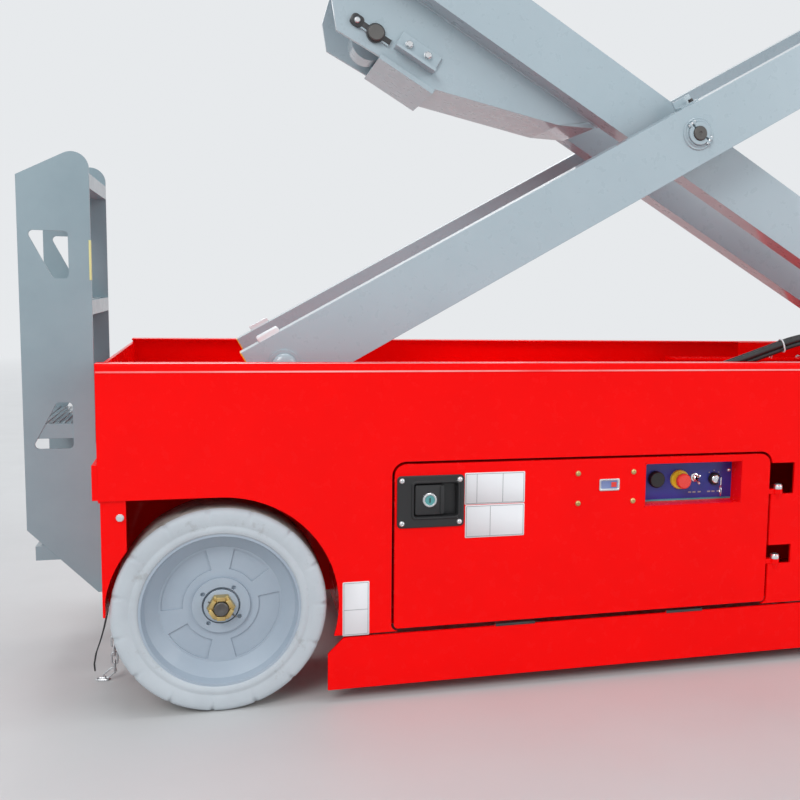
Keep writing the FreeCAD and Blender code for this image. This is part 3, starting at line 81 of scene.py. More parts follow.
AXLE_X = centre("rear_right_wheel").x
PANEL_Y = -corners("ground_controls")[0].y
TYRE_LOW, TYRE_HIGH = corners("rear_right_tyre")
TYRE_R = (TYRE_HIGH.z - TYRE_LOW.z) / 2
TYRE_W = TYRE_HIGH.y - TYRE_LOW.y
LATCH_LOW, LATCH_HIGH = corners("right_latch")
CONTROL_LOW, CONTROL_HIGH = corners("ground_controls")
ARM_SLOPE = math.radians(29.7)
ARM_HALF, ARM_END, ARM_DEEP = 985, 58, 120
OUTER_INSIDE, OUTER_FACE, INNER_INSIDE, INNER_FACE = 205, 265, 105, 165
COVER_TOP, REAR_WALL_X, SPINDLE_END, LADDER_Y = 536, -1100, 366, 150
CAMERA_FROM_AXLE = Vector((0.0051, -2.2671, 0.7897))
CAMERA_YAW, CAMERA_PITCH, CAMERA_ROLL = (math.radians(a) for a in (16.4584, 6.4216, -1.2036))
FOCAL_PX, CENTRE_PX, IMAGE_PX, SENSOR_MM = 1015.73, 519.64, 800.0, 36.0
BACKDROP = (0.80, 0.82, 0.84, 1)


# Node graph helpers

def add_node(tree, kind, **values):
    """A shader node with its settings and the defaults of its inputs."""
    made = tree.nodes.new(kind)
    for key, value in values.items():
        if key in made.inputs:
            made.inputs[key].default_value = value
        else:
            setattr(made, key, value)
    return made


def wire(tree, source, target):
    tree.links.new(source, target)


def noise(tree, scale, detail=4.0, rough=0.55):
    """Noise in the object's own metres."""
    where = add_node(tree, "ShaderNodeTexCoord")
    made = add_node(tree, "ShaderNodeTexNoise", Scale=scale, Detail=detail, Roughness=rough)
    wire(tree, where.outputs["Object"], made.inputs["Vector"])
    return made.outputs["Fac"]


def ramp(tree, value, low, high, to_low=0.0, to_high=1.0):
    made = add_node(tree, "ShaderNodeMapRange")
    for key, number in zip(("From Min", "From Max", "To Min", "To Max"),
                           (low, high, to_low, to_high)):
        made.inputs[key].default_value = number
    wire(tree, value, made.inputs["Value"])
    return made.outputs["Result"]


def tint(tree, mask, first, second):
    """Mixes two colours, or a colour over a colour socket, by a mask."""
    made = add_node(tree, "ShaderNodeMix", data_type="RGBA")
    wire(tree, mask, made.inputs["Factor"])
    for slot_name, value in (("A", first), ("B", second)):
        socket = [s for s in made.inputs if s.name == slot_name and s.type == "RGBA"][0]
        if isinstance(value, bpy.types.NodeSocket):
            wire(tree, value, socket)
        else:
            socket.default_value = (*value, 1)
    return [s for s in made.outputs if s.type == "RGBA"][0]


def seen_directly(tree):
    """1 for what the camera, a reflection or a view through glass meets."""
    path = add_node(tree, "ShaderNodeLightPath")
    seen = add_node(tree, "ShaderNodeMath", operation="MAXIMUM")
    both = add_node(tree, "ShaderNodeMath", operation="MAXIMUM")
    wire(tree, path.outputs["Is Camera Ray"], seen.inputs[0])
    wire(tree, path.outputs["Is Glossy Ray"], seen.inputs[1])
    wire(tree, seen.outputs[0], both.inputs[0])
    wire(tree, path.outputs["Is Transmission Ray"], both.inputs[1])
    return both.outputs[0]


def finish(name, colour, tone, rough=(0.25, 0.4), grain=900.0, depth=0.02, metal=0.0, coat=0.0,
           blotch=6.0, dirt=None, dirt_at=(0.55, 0.75), edge=1.2, specular=0.5):
    """A painted, moulded or bare surface: blotches, dirt, grain and softened edges.

    Grain depth and edge radius are in millimetres, noise scales per metre.
    """
    material = bpy.data.materials.new(name)
    material.use_nodes = True
    tree = material.node_tree
    shader = tree.nodes["Principled BSDF"]
    skin = tint(tree, ramp(tree, noise(tree, blotch, 5.0, 0.6), 0.35, 0.7), colour, tone)
    if dirt:
        grime = ramp(tree, noise(tree, blotch * 2.3, 8.0, 0.68), *dirt_at)
        skin = tint(tree, grime, skin, dirt)
    wire(tree, skin, shader.inputs["Base Color"])
    wire(tree, ramp(tree, noise(tree, blotch * 7, 3.0, 0.6), 0.3, 0.7, *rough),
         shader.inputs["Roughness"])
    shader.inputs["Metallic"].default_value = metal
    shader.inputs["Specular IOR Level"].default_value = specular
    shader.inputs["Coat Weight"].default_value = coat
    shader.inputs["Coat Roughness"].default_value = 0.04
    bump = add_node(tree, "ShaderNodeBump", Strength=1.0, Distance=depth * MM)
    wire(tree, noise(tree, grain, 3.0, 0.5), bump.inputs["Height"])
    if edge:
        soft = add_node(tree, "ShaderNodeBevel", samples=4, Radius=edge * MM)
        wire(tree, soft.outputs["Normal"], bump.inputs["Normal"])
    wire(tree, bump.outputs["Normal"], shader.inputs["Normal"])
    return material


FINISHES, SLOT_OF = {}, {}


def make_finishes(colours):
    red, grey = tuple(colours.chassis), tuple(colours.arms)

    def add(name, slot, *values, **more):
        FINISHES[name] = finish(name, *values, **more)
        SLOT_OF[name] = slot

    add("arm_grey", "grey_paint", grey, (0.375, 0.46, 0.50), (0.25, 0.36), 260, 0.02, coat=0.55)
    add("ladder_grey", "grey_paint", (0.27, 0.355, 0.39), (0.235, 0.315, 0.35), (0.30, 0.42), 380,
        0.05, coat=0.4)
    add("deck_plate", "grey_paint", (0.34, 0.40, 0.43), (0.28, 0.33, 0.36), (0.35, 0.5), 150, 0.5,
        coat=0.2)
    add("print_grey", "grey_paint", (0.35, 0.35, 0.36), (0.30, 0.30, 0.31), (0.4, 0.5), 600, 0.01)
    add("edge_yellow", "grey_paint", (0.90, 0.47, 0.03), (0.82, 0.40, 0.02), (0.35, 0.5), 500,
        0.04, coat=0.2)
    add("tape_yellow", "grey_paint", (0.72, 0.68, 0.30), (0.62, 0.58, 0.26), (0.4, 0.6), 500,
        0.04, coat=0.1)
    add("wheel_grey", "wheel_paint", (0.38, 0.445, 0.51), (0.33, 0.395, 0.465), (0.35, 0.5), 700,
        0.05, coat=0.2)
    add("chassis_red", "red_paint", red, (0.93, 0.001, 0.001), (0.20, 0.30), 260, 0.02, coat=0.09,
        specular=0.07)
    # Pale glossy red on the panel bends' two ridges: painted highlights along the rolled edges.
    add("painted_highlight_red", "red_paint", (1.0, 0.42, 0.40), (0.96, 0.03, 0.03), (0.2, 0.3), 260, 0.01,
        coat=0.6, blotch=4.0, edge=0)
    add("stop_red", "red_paint", (0.80, 0.045, 0.03), (0.72, 0.03, 0.02), (0.25, 0.35), 900, 0.02,
        coat=0.3)
    add("pad_white", "roller_nylon", (0.82, 0.84, 0.85), (0.76, 0.78, 0.79), (0.4, 0.6), 900, 0.05)
    add("roller_white", "roller_nylon", (0.66, 0.67, 0.64), (0.58, 0.59, 0.57), (0.4, 0.55), 900,
        0.04)
    add("label_white", "roller_nylon", (0.80, 0.80, 0.81), (0.75, 0.75, 0.76), (0.3, 0.4), 600,
        0.01, coat=0.3)
    add("black_moulding", "black_plastic", (0.012, 0.012, 0.013), (0.02, 0.02, 0.021),
        (0.35, 0.5), 1500, 0.05)
    add("rubber_black", "black_plastic", (0.014, 0.014, 0.015), (0.03, 0.03, 0.03), (0.4, 0.6),
        1200, 0.05, blotch=20.0, edge=0)
    add("stop_yellow", "black_plastic", (0.80, 0.60, 0.03), (0.74, 0.54, 0.02), (0.3, 0.4), 900,
        0.02, coat=0.2)
    add("black_enamel", "black_paint", (0.02, 0.02, 0.022), (0.03, 0.03, 0.032), (0.25, 0.4), 500,
        0.04, coat=0.3)
    add("battery_case", "battery_case", (0.035, 0.035, 0.04), (0.05, 0.05, 0.055), (0.4, 0.6),
        900, 0.06)
    add("dark_steel", "dark_steel", (0.16, 0.155, 0.15), (0.10, 0.095, 0.09), (0.3, 0.5), 800,
        0.05, metal=0.9)
    add("yellow_zinc", "dark_steel", (0.62, 0.47, 0.20), (0.50, 0.36, 0.14), (0.25, 0.42), 900,
        0.04, metal=0.9)
    add("bright_zinc", "chrome", (0.72, 0.73, 0.74), (0.60, 0.61, 0.63), (0.2, 0.38), 900, 0.03,
        metal=0.95)
    add("chrome", "chrome", (0.82, 0.83, 0.85), (0.76, 0.77, 0.80), (0.04, 0.09), 300, 0.005,
        metal=1.0)
    add("key_teal", "chrome", (0.10, 0.36, 0.36), (0.07, 0.28, 0.28), (0.3, 0.4), 900, 0.02,
        coat=0.2)
    add("panel_blue", "control_blue", (0.025, 0.03, 0.30), (0.02, 0.025, 0.24), (0.3, 0.42), 900,
        0.03, coat=0.2)
    add("display_blue", "control_blue", (0.10, 0.16, 0.42), (0.30, 0.36, 0.55), (0.1, 0.2), 300,
        0.005, coat=0.8)
    add("tyre_pale", "tyre", (0.53, 0.575, 0.605), (0.46, 0.50, 0.53), (0.6, 0.8), 500, 0.25,
        blotch=9.0, dirt=(0.27, 0.265, 0.25), dirt_at=(0.60, 0.82), edge=0)
    add("tyre_tread", "tyre", (0.33, 0.31, 0.28), (0.48, 0.47, 0.44), (0.7, 0.9), 300, 0.5,
        blotch=12.0, dirt=(0.16, 0.14, 0.12), dirt_at=(0.5, 0.7), edge=0)


NODE_FINISHES = {
    "red_paint": "chassis_red", "grey_paint": "arm_grey", "tyre": "tyre_pale",
    "wheel_paint": "wheel_grey", "dark_steel": "dark_steel", "chrome": "chrome",
    "black_plastic": "black_moulding", "black_paint": "black_enamel",
    "battery_case": "battery_case", "control_blue": "panel_blue", "roller_nylon": "roller_white",
}


# Mesh helpers, in millimetres

def turn_to(axis, spot):
    """Matrix that takes +Z to an axis and the origin to a spot."""
    return Matrix.Translation(spot) @ Vector(axis).to_track_quat("Z", "Y").to_matrix().to_4x4()


def at(place, x, y, z=0):
    """A place moved along its own axes."""
    return place @ Matrix.Translation((x, y, z))


def loft(bm, rings, index=0, caps=(None, None), closed=False):
    """Skins rings of points in turn; one point makes a tip, and caps name their finishes."""
    rings = [[bm.verts.new(point) for point in ring] for ring in rings]
    for one, two in zip(rings, rings[1:] + (rings[:1] if closed else [])):
        count = max(len(one), len(two))
        for k in range(count):
            n = (k + 1) % count
            face = list(dict.fromkeys((one[k % len(one)], one[n % len(one)], two[n % len(two)],
                                       two[k % len(two)])))
            if len(face) > 2:
                bm.faces.new(face).material_index = index
    for ring, cap in zip((rings[0][::-1], rings[-1]), caps):
        if cap is not None:
            bm.faces.new(ring).material_index = cap


def lathe(bm, profile, place, steps=48, index=0, closed=False):
    """Revolves (radius, height) points about the local Z axis."""
    loft(bm, [[place @ Vector((radius * math.cos(math.tau * k / steps),
                               radius * math.sin(math.tau * k / steps), height))
               for k in range(steps if radius else 1)] for radius, height in profile],
         index, closed=closed)


def disc(bm, place, radius, low, high, steps, index=0):
    """Short cylinder closed at both ends."""
    lathe(bm, ((0, low), (radius, low), (radius, high), (0, high)), place, steps, index)


def hex_bolt(bm, place, across, tall, index=0):
    """Hexagon head on a washer, standing on the local XY plane."""
    disc(bm, place, across * 0.62, 0, tall * 0.18, 24, index)
    radius = across / math.sqrt(3)
    lathe(bm, ((radius, tall * 0.18), (radius, tall * 0.86), (radius * 0.84, tall),
               (0, tall)), place, 6, index)


def dome_screw(bm, place, radius, index=0):
    """Round head with a shallow socket."""
    lathe(bm, [(radius * r, radius * z) for r, z in (
        (1, 0), (0.94, 0.28), (0.72, 0.52), (0.42, 0.62), (0.36, 0.62), (0.34, 0.3), (0, 0.3))],
          place, 20, index)


def rounded(width, height, corner, steps=6, middle=(0, 0)):
    """Outline of a rounded rectangle."""
    points = []
    for n, (sx, sy) in enumerate(((1, 1), (-1, 1), (-1, -1), (1, -1))):
        for k in range(steps + 1):
            angle = math.pi / 2 * (n + k / steps)
            points.append((middle[0] + sx * (width / 2 - corner) + corner * math.cos(angle),
                           middle[1] + sy * (height / 2 - corner) + corner * math.sin(angle)))
    return points


def levels(place, pairs):
    """Rings for loft() from pairs of outline and height."""
    return [[place @ Vector((x, y, z)) for x, y in outline] for outline, z in pairs]


def slab(bm, outline, low, high, place, soft=0.0, index=0):
    """Flat plate from an outline about the origin, with its upper edge softened."""
    def inset(by):
        return [(x - by * x / math.hypot(x, y), y - by * y / math.hypot(x, y)) for x, y in outline]

    steps = [(outline, low), (outline, high - soft)]
    if soft:
        steps += [(inset(soft * 0.3), high - soft * 0.3), (inset(soft), high)]
    loft(bm, levels(place, steps), index, (index, index))


def block(bm, place, x, y, z, index=0, soft=0.4):
    """Box between local spans, its upper edges softened."""
    w, h = (x[1] - x[0]) / 2, (y[1] - y[0]) / 2
    slab(bm, ((-w, -h), (w, -h), (w, h), (-w, h)), z[0], z[1],
         at(place, (x[0] + x[1]) / 2, (y[0] + y[1]) / 2), soft, index)


def tube(bm, points, radius, around=8, closed=False, index=0, ripple=0.0):
    """Round bar along points; ripple swells every second ring, as in a weld bead."""
    side = None
    rings = []
    for k, point in enumerate(points):
        before = points[k - 1] if closed or k else point
        after = points[(k + 1) % len(points)] if closed or k < len(points) - 1 else point
        along = (after - before).normalized()
        side = side or along.orthogonal()
        side = (side - along * side.dot(along)).normalized()
        up = along.cross(side)
        r = radius * (1 + ripple * (k % 2))
        rings.append([point + (side * math.cos(math.tau * m / around)
                               + up * math.sin(math.tau * m / around)) * r
                      for m in range(around)])
    loft(bm, rings, index, (None, None) if closed else (index, index), closed)


def circle(place, radius, steps):
    return [place @ Vector((radius * math.cos(math.tau * k / steps),
                            radius * math.sin(math.tau * k / steps), 0)) for k in range(steps)]


def weld_ring(bm, place, radius, size=2.6, index=0):
    tube(bm, circle(place, radius, 2 * int(math.pi * radius / size / 1.4)), size, 6, True, index,
         0.22)


def weld_line(bm, start, end, size=3):
    run = end - start
    steps = max(4, int(run.length / size / 1.4))
    tube(bm, [start + run * (k / steps) for k in range(steps + 1)], size, 6, ripple=0.22)


def collar_half(bm, place, inner, outer, low, high, start, end, index=0, steps=24):
    """Part of a ring between two angles in degrees."""
    section = ((inner, low), (outer, low), (outer, high - 1), (outer - 1, high), (inner, high))
    rings = []
    for k in range(steps + 1):
        a = math.radians(start + (end - start) * k / steps)
        rings.append([place @ Vector((r * math.cos(a), r * math.sin(a), z)) for r, z in section])
    loft(bm, rings, index, (index, index))


def piece(name, bm, body, finishes, replace=(), smooth=35):
    """Turns a bmesh into a piece that rides on a body, with its finishes."""
    bmesh.ops.recalc_face_normals(bm, faces=bm.faces)
    mesh = bpy.data.meshes.new(name)
    bm.to_mesh(mesh)
    bm.free()
    mesh.transform(Matrix.Scale(MM, 4))
    for label in finishes:
        mesh.materials.append(FINISHES[label])
    mesh.shade_smooth()
    mesh.set_sharp_from_angle(angle=math.radians(smooth))
    obj = bpy.data.objects.new(name, mesh)
    bpy.context.scene.collection.objects.link(obj)
    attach(obj, body)
    if replace:
        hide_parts(*replace)
    return obj


def facing(side, x, z, out=PANEL_Y):
    """Place on a side's panel plane: local X along the machine, local Y up, local Z outwards."""
    sign = SIDES[side]
    columns = Matrix(((-sign, 0, 0), (0, 0, sign), (0, 1, 0))).to_4x4()
    return Matrix.Translation((x, out * sign, z)) @ columns


def on_arm(kind, stage, side, along, above, out):
    """Place on an arm, from its centre: X along it, Y up its depth, Z outwards."""
    slope = ARM_SLOPE if kind == "outer" else -ARM_SLOPE
    run = Vector((math.cos(slope), 0, math.sin(slope)))
    up = Vector((-math.sin(slope), 0, math.cos(slope)))
    outward = Vector((0, SIDES[side], 0))
    spot = centre("outer_arms_%d" % stage) + run * along + up * above + outward * out
    return Matrix.Translation(spot) @ Matrix((run, up, outward)).transposed().to_4x4()


# Property groups

class LiftColours(bpy.types.PropertyGroup):
    """Colours a user would change."""
    chassis: bpy.props.FloatVectorProperty(
        name="Chassis red", description="Paint of the chassis, doors and guards",
        subtype="COLOR", size=3, min=0, max=1, default=(0.98, 0.001, 0.001))
    arms: bpy.props.FloatVectorProperty(
        name="Arm grey", description="Paint of the scissor arms and platform",
        subtype="COLOR", size=3, min=0, max=1, default=(0.40, 0.485, 0.525))


class LiftSizes(bpy.types.PropertyGroup):
    """Sizes a user would change."""
    notches: bpy.props.IntProperty(
        name="Tyre notches", description="Notches round each tyre's shoulder",
        min=6, max=40, default=15)
    screw: bpy.props.FloatProperty(
        name="Panel screw", description="Radius of the panel screws' heads",
        subtype="DISTANCE", unit="LENGTH", min=0.001, max=0.02, default=0.0058)
    nut: bpy.props.FloatProperty(
        name="Axle nut", description="Radius of the castle nuts across their corners",
        subtype="DISTANCE", unit="LENGTH", min=0.01, max=0.05, default=0.0255)


class LIFT_OT_stage(bpy.types.Operator):
    """Adds the floor, the soft light and the camera"""
    bl_idname = "lift.stage"
    bl_label = "Stage"

    def execute(self, context):
        scene = context.scene
        scene.view_settings.view_transform = "Standard"
        self.floor(scene)
        self.world(scene)
        self.lamps(scene)
        self.camera(scene)
        return {"FINISHED"}

    def floor(self, scene):
        bm = bmesh.new()
        bmesh.ops.create_grid(bm, x_segments=1, y_segments=1, size=40)
        mesh = bpy.data.meshes.new("floor")
        bm.to_mesh(mesh)
        bm.free()
        floor = bpy.data.objects.new("floor", mesh)
        scene.collection.objects.link(floor)
        mesh.materials.append(self.floor_finish())

    def floor_finish(self):
        """Pale floor that fades into the backdrop well away from the machine."""
        material = finish("floor_pale", (0.58, 0.58, 0.575), (0.54, 0.54, 0.535), (0.45, 0.6), 60,
                          0.2, blotch=0.8, edge=0)
        tree = material.node_tree
        where = add_node(tree, "ShaderNodeTexCoord")
        away = add_node(tree, "ShaderNodeVectorMath", operation="LENGTH")
        wire(tree, where.outputs["Object"], away.inputs[0])
        both = add_node(tree, "ShaderNodeMath", operation="MULTIPLY")
        wire(tree, ramp(tree, away.outputs["Value"], 3.0, 9.0), both.inputs[0])
        wire(tree, seen_directly(tree), both.inputs[1])
        glow = add_node(tree, "ShaderNodeEmission", Color=BACKDROP, Strength=1.0)
        mix = add_node(tree, "ShaderNodeMixShader")
        wire(tree, both.outputs[0], mix.inputs[0])
        wire(tree, tree.nodes["Principled BSDF"].outputs[0], mix.inputs[1])
        wire(tree, glow.outputs[0], mix.inputs[2])
        wire(tree, mix.outputs[0], tree.nodes["Material Output"].inputs["Surface"])
        return material

    def world(self, scene):
        world = bpy.data.worlds.new("studio")
        scene.world = world
        world.use_nodes = True
        tree = world.node_tree
        light = tree.nodes["Background"]
        light.inputs["Color"].default_value = (0.86, 0.92, 1.0, 1)
        light.inputs["Strength"].default_value = 0.62
        plain = add_node(tree, "ShaderNodeBackground", Color=BACKDROP, Strength=1.0)
        mix = add_node(tree, "ShaderNodeMixShader")
        wire(tree, seen_directly(tree), mix.inputs[0])
        wire(tree, light.outputs[0], mix.inputs[1])
        wire(tree, plain.outputs[0], mix.inputs[2])
        wire(tree, mix.outputs[0], tree.nodes["World Output"].inputs["Surface"])

    def lamps(self, scene):
        table = (
            # name, place, aim, size, watts
            ("key", (-3.5, -5.0, 4.6), (0, 0, 0.8), 3.2, 210),
            ("fill", (4.5, -4.0, 3.0), (0, 0, 0.8), 3.5, 90),
            ("top", (0, 0.5, 8.0), (0, 0, 0), 5.0, 260),
            ("back", (0, 6.0, 4.5), (0, 0, 1.0), 4.0, 100),
        )
        for name, place, aim, size, watts in table:
            lamp = bpy.data.lights.new(name, "AREA")
            lamp.shape, lamp.size, lamp.energy = "SQUARE", size, watts
            obj = bpy.data.objects.new(name, lamp)
            obj.location = place
            obj.rotation_euler = (Vector(aim) - Vector(place)).to_track_quat("-Z", "Y").to_euler()
            scene.collection.objects.link(obj)

    def camera(self, scene):
        data = bpy.data.cameras.new("camera")
        data.sensor_width = SENSOR_MM
        data.lens = FOCAL_PX * SENSOR_MM / IMAGE_PX
        data.shift_x = 0.5 - CENTRE_PX / IMAGE_PX
        data.clip_end = 200
        ahead = Vector((math.sin(CAMERA_YAW) * math.cos(CAMERA_PITCH),
                        math.cos(CAMERA_YAW) * math.cos(CAMERA_PITCH), -math.sin(CAMERA_PITCH)))
        right = Vector((math.cos(CAMERA_YAW), -math.sin(CAMERA_YAW), 0))
        down = ahead.cross(right)
        rolled_right = right * math.cos(CAMERA_ROLL) + down * math.sin(CAMERA_ROLL)
        rolled_down = down * math.cos(CAMERA_ROLL) - right * math.sin(CAMERA_ROLL)
        turn = Matrix((rolled_right, -rolled_down, -ahead)).transposed().to_4x4()
        camera = bpy.data.objects.new("camera", data)
        camera.matrix_world = Matrix.Translation(
            Vector((AXLE_X * MM, 0, 0)) + CAMERA_FROM_AXLE) @ turn
        scene.collection.objects.link(camera)
        scene.camera = camera


class LIFT_OT_finishes(bpy.types.Operator):
    """Gives every carried-over solid its finish"""
    bl_idname = "lift.finishes"
    bl_label = "Finishes"

    def execute(self, context):
        make_finishes(context.scene.lift_colours)
        slots = {part["node"]: part["material_slot"] for part in frame["record"]["subparts"]}
        special = {"rear_ladder": "ladder_grey", "platform_deck": "deck_plate"}
        for name, obj in frame["nodes"].items():
            obj.data.materials.clear()
            obj.data.materials.append(FINISHES[special.get(name, NODE_FINISHES[slots[name]])])
        return {"FINISHED"}


class LIFT_OT_hoses(bpy.types.Operator):
    """Lays the three hydraulic hoses that rise out of the right bay and go back into it"""
    bl_idname = "lift.hoses"
    bl_label = "Hoses"
    diameter = 12
    outer_y, inner_y, lower_y = -362, -349, -355.5
    leave_x, enter_x = 944, 1320

    def execute(self, context):
        # From the rear axle, forwards and up; the lower hose lies inside this line.
        line = ((self.leave_x, 530), (946, 572), (975, 622), (1040, 643), (1110, 667), (1190, 694),
                (1262, 700), (1305, 660), (1318, 600), (self.enter_x, 530))
        inwards = ((11, 0), (11, 0), (8, -7), (3, -11), (3, -11), (3, -11), (-1, -11), (-8, -6),
                   (-11, 0), (-11, 0))
        tie = self.tie()
        for name, y, depth, held in (("upper_outer", self.outer_y, 0, [tie]),
                                     ("upper_inner", self.inner_y, 0, []),
                                     ("lower", self.lower_y, 1, [])):
            points = [Vector((AXLE_X + x + depth * dx, y, z + depth * dz)) * MM
                      for (x, z), (dx, dz) in zip(line, inwards)]
            curve = bpy.data.curves.new("hose_" + name, "CURVE")
            curve.dimensions = "3D"
            curve.bevel_depth = self.diameter / 2 * MM
            curve.bevel_resolution = 5
            curve.resolution_u = 12
            curve.use_fill_caps = True
            spline = curve.splines.new("NURBS")
            spline.points.add(len(points) - 1)
            for spot, point in zip(spline.points, points):
                spot.co = (*point, 1)
            spline.order_u = 3
            spline.use_endpoint_u = True
            curve.materials.append(FINISHES["rubber_black"])
            hose = bpy.data.objects.new("hose_" + name, curve)
            context.scene.collection.objects.link(hose)
            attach(hose, "chassis")
        self.glands()
        return {"FINISHED"}

    def tie(self):
        turn = turn_to((0.953, 0, 0.303), Vector((AXLE_X + 1146, self.lower_y, 675)))
        points = []
        for k in range(36):
            a = math.tau * k / 36
            reach = 13.6 + 1.4 * math.cos(3 * a)
            points.append(turn @ Vector((reach * math.cos(a) * 0.98, reach * math.sin(a), 0)))
        bm = bmesh.new()
        tube(bm, points, 1.6, 6, True)
        return piece("hose_tie", bm, "chassis", ("pad_white",))

    def glands(self):
        bm = bmesh.new()
        for x, step in ((self.leave_x, 11), (self.enter_x, -11)):
            plate = Matrix.Translation((AXLE_X + x + step / 2, self.lower_y, COVER_TOP))
            slab(bm, rounded(40, 34, 8), 0.1, 3, plate, 1)
            for dx, y in ((0, self.outer_y), (0, self.inner_y), (step, self.lower_y)):
                lathe(bm, ((6.2, 2), (8, 2), (7.4, 9), (6.2, 10)),
                      Matrix.Translation((AXLE_X + x + dx, y, COVER_TOP)), 24)
        piece("hose_glands", bm, "chassis", ("rubber_black",))


class LIFT_OT_tyres(bpy.types.Operator):
    """Builds the notched solid tyres"""
    bl_idname = "lift.tyres"
    bl_label = "Tyres"

    def execute(self, context):
        for end in ("rear", "front"):
            for side in SIDES:
                self.tyre(end, side, context.scene.lift_sizes.notches)
        return {"FINISHED"}

    def tyre(self, end, side, notches):
        name = "%s_%s_tyre" % (end, side)
        middle, out = centre(name), SIDES[side]
        half, seat, per_notch = TYRE_W / 2, TYRE_R - 48, 24
        profile = (
            # radius, lateral from the middle (outwards positive), finish index
            (seat, half - 3, 0), (seat + 3, half, 0), (seat + 12, half, 0),
            (seat + 14, half - 1, 0), (seat + 17, half - 1, 0), (seat + 19, half, 0),
            (TYRE_R - 13, half, 0),
            (TYRE_R - 7, half - 0.6, 0), (TYRE_R - 3, half - 3.5, 0), (TYRE_R - 0.8, half - 8, 1),
            (TYRE_R, half - 14, 1), (TYRE_R, 0, 1), (TYRE_R, 14 - half, 1),
            (TYRE_R - 0.8, 8 - half, 1), (TYRE_R - 3, 3.5 - half, 1), (TYRE_R - 7, 0.6 - half, 0),
            (TYRE_R - 13, -half, 0), (seat + 3, -half, 0), (seat, 3 - half, 0))
        bm = bmesh.new()
        rings = []
        for k in range(notches * per_notch):
            angle = math.tau * k / (notches * per_notch)
            ring = []
            for radius, lateral, _ in profile:
                edge = max(0.0, 1 - (TYRE_R - radius) / 15)
                shoulder = max(0.0, 1 - abs(abs(lateral) - half) / 10)
                depth = edge * shoulder if k % per_notch < 2 else 0.0
                r = radius - depth * 7
                ring.append(bm.verts.new(middle + Vector((
                    r * math.cos(angle), out * (lateral - math.copysign(depth * 3, lateral)),
                    r * math.sin(angle)))))
            rings.append(ring)
        for this, following in zip(rings, rings[1:] + rings[:1]):
            for n in range(len(profile)):
                m = (n + 1) % len(profile)
                face = bm.faces.new((this[n], following[n], following[m], this[m]))
                face.material_index = profile[n][2] if m else 0
        piece(name + "_skin", bm, "%s_%s_wheel" % (end, side), ("tyre_pale", "tyre_tread"),
              replace=(name,), smooth=50)


class LIFT_OT_axle_nuts(bpy.types.Operator):
    """Builds the castle nuts, their washers and split pins"""
    bl_idname = "lift.axle_nuts"
    bl_label = "Axle nuts"

    def execute(self, context):
        radius = context.scene.lift_sizes.nut / MM
        for end in ("rear", "front"):
            for side in SIDES:
                self.nut(end, side, radius, "chassis" if end == "rear" else side + "_knuckle")
        return {"FINISHED"}

    def nut(self, end, side, radius, body):
        middle = centre("%s_%s_wheel" % (end, side))
        place = turn_to((0, SIDES[side], 0),
                        Vector((middle.x, SIDES[side] * SPINDLE_END, middle.z)))
        bm = bmesh.new()
        lathe(bm, ((0, -0.5), (31, -0.5), (31, 1.5), (29.5, 2.4), (0, 2.4)), place, 48, 1)
        lathe(bm, ((radius, 2), (radius, 13), (radius * 0.9, 15.5), (radius * 0.55, 15.5)),
              place, 6)
        for k in range(6):
            turn = place @ Matrix.Rotation(math.tau * (k + 0.5) / 6, 4, "Z")
            block(bm, turn, (radius * 0.56, radius * 0.86), (-radius * 0.3, radius * 0.3),
                  (14, 22), 0, 1)
        lathe(bm, ((0, 12), (radius * 0.52, 12), (radius * 0.52, 23), (radius * 0.46, 24.5),
                   (radius * 0.12, 24.5), (0, 22.5)), place, 32, 2)
        across = place @ Matrix.Rotation(math.radians(-32), 4, "Z")
        for reach, bend in ((radius * 1.25, 2), (radius, -5)):
            tube(bm, [across @ Vector(p) for p in (
                (-radius * 1.05, 0, 18), (reach * 0.8, 0, 18), (reach, 0, 18 + bend))],
                 1.5, 8, False, 2)
        piece("%s_%s_axle_nut" % (end, side), bm, body, ("yellow_zinc", "wheel_grey", "dark_steel"))


class LIFT_OT_latches(bpy.types.Operator):
    """Builds the door latches: plate, pull cup, paddle, lock and screws"""
    bl_idname = "lift.latches"
    bl_label = "Latches"

    def execute(self, context):
        for side in SIDES:
            self.latch(side)
        return {"FINISHED"}

    def latch(self, side):
        """Local X and Y run from the plate's rear lower corner."""
        place = facing(side, LATCH_LOW.x, LATCH_LOW.z) @ Matrix.Diagonal((-SIDES[side], 1, 1, 1))
        wide, tall = LATCH_HIGH.x - LATCH_LOW.x, LATCH_HIGH.z - LATCH_LOW.z

        def plate(inset, corner):
            return rounded(wide - inset, tall - inset, corner, middle=(wide / 2, tall / 2))

        def cup(grow, corner):
            return rounded(86 + grow, 66 + grow, corner, middle=(74, 53))

        bm = bmesh.new()
        loft(bm, levels(place, (
            (plate(0, 8), 0.1), (plate(0, 8), 2.6), (plate(3, 7), 4), (cup(9, 9), 4),
            (cup(6, 8), 6.5), (cup(1, 6), 6.5), (cup(-4, 4), 3), (cup(-6, 3), -12))),
             caps=(None, 0))
        slab(bm, rounded(56, 58, 4), -12, 3.5, at(place, 62, 53), 2)
        slab(bm, rounded(7, 54, 2), 2, 5.5, at(place, 86, 53), 1)
        lock = at(place, 62, 53, 3.4)
        lathe(bm, ((0, 0), (14, 0), (14, 2), (12.6, 3.6), (10, 3.6), (9.4, 2.2)), lock, 40, 1)
        lathe(bm, ((9.4, 2.2), (0, 2.8)), lock, 40, 2)
        block(bm, lock, (-1, 1), (-4.5, 4.5), (2.4, 3.3), 0, 0)
        for x in (9, wide - 9):
            for y in (9, tall - 9):
                dome_screw(bm, at(place, x, y, 4), 5.2, 1)
        piece(side + "_latch_skin", bm, side + "_door",
              ("black_moulding", "bright_zinc", "key_teal"), replace=(side + "_latch",))


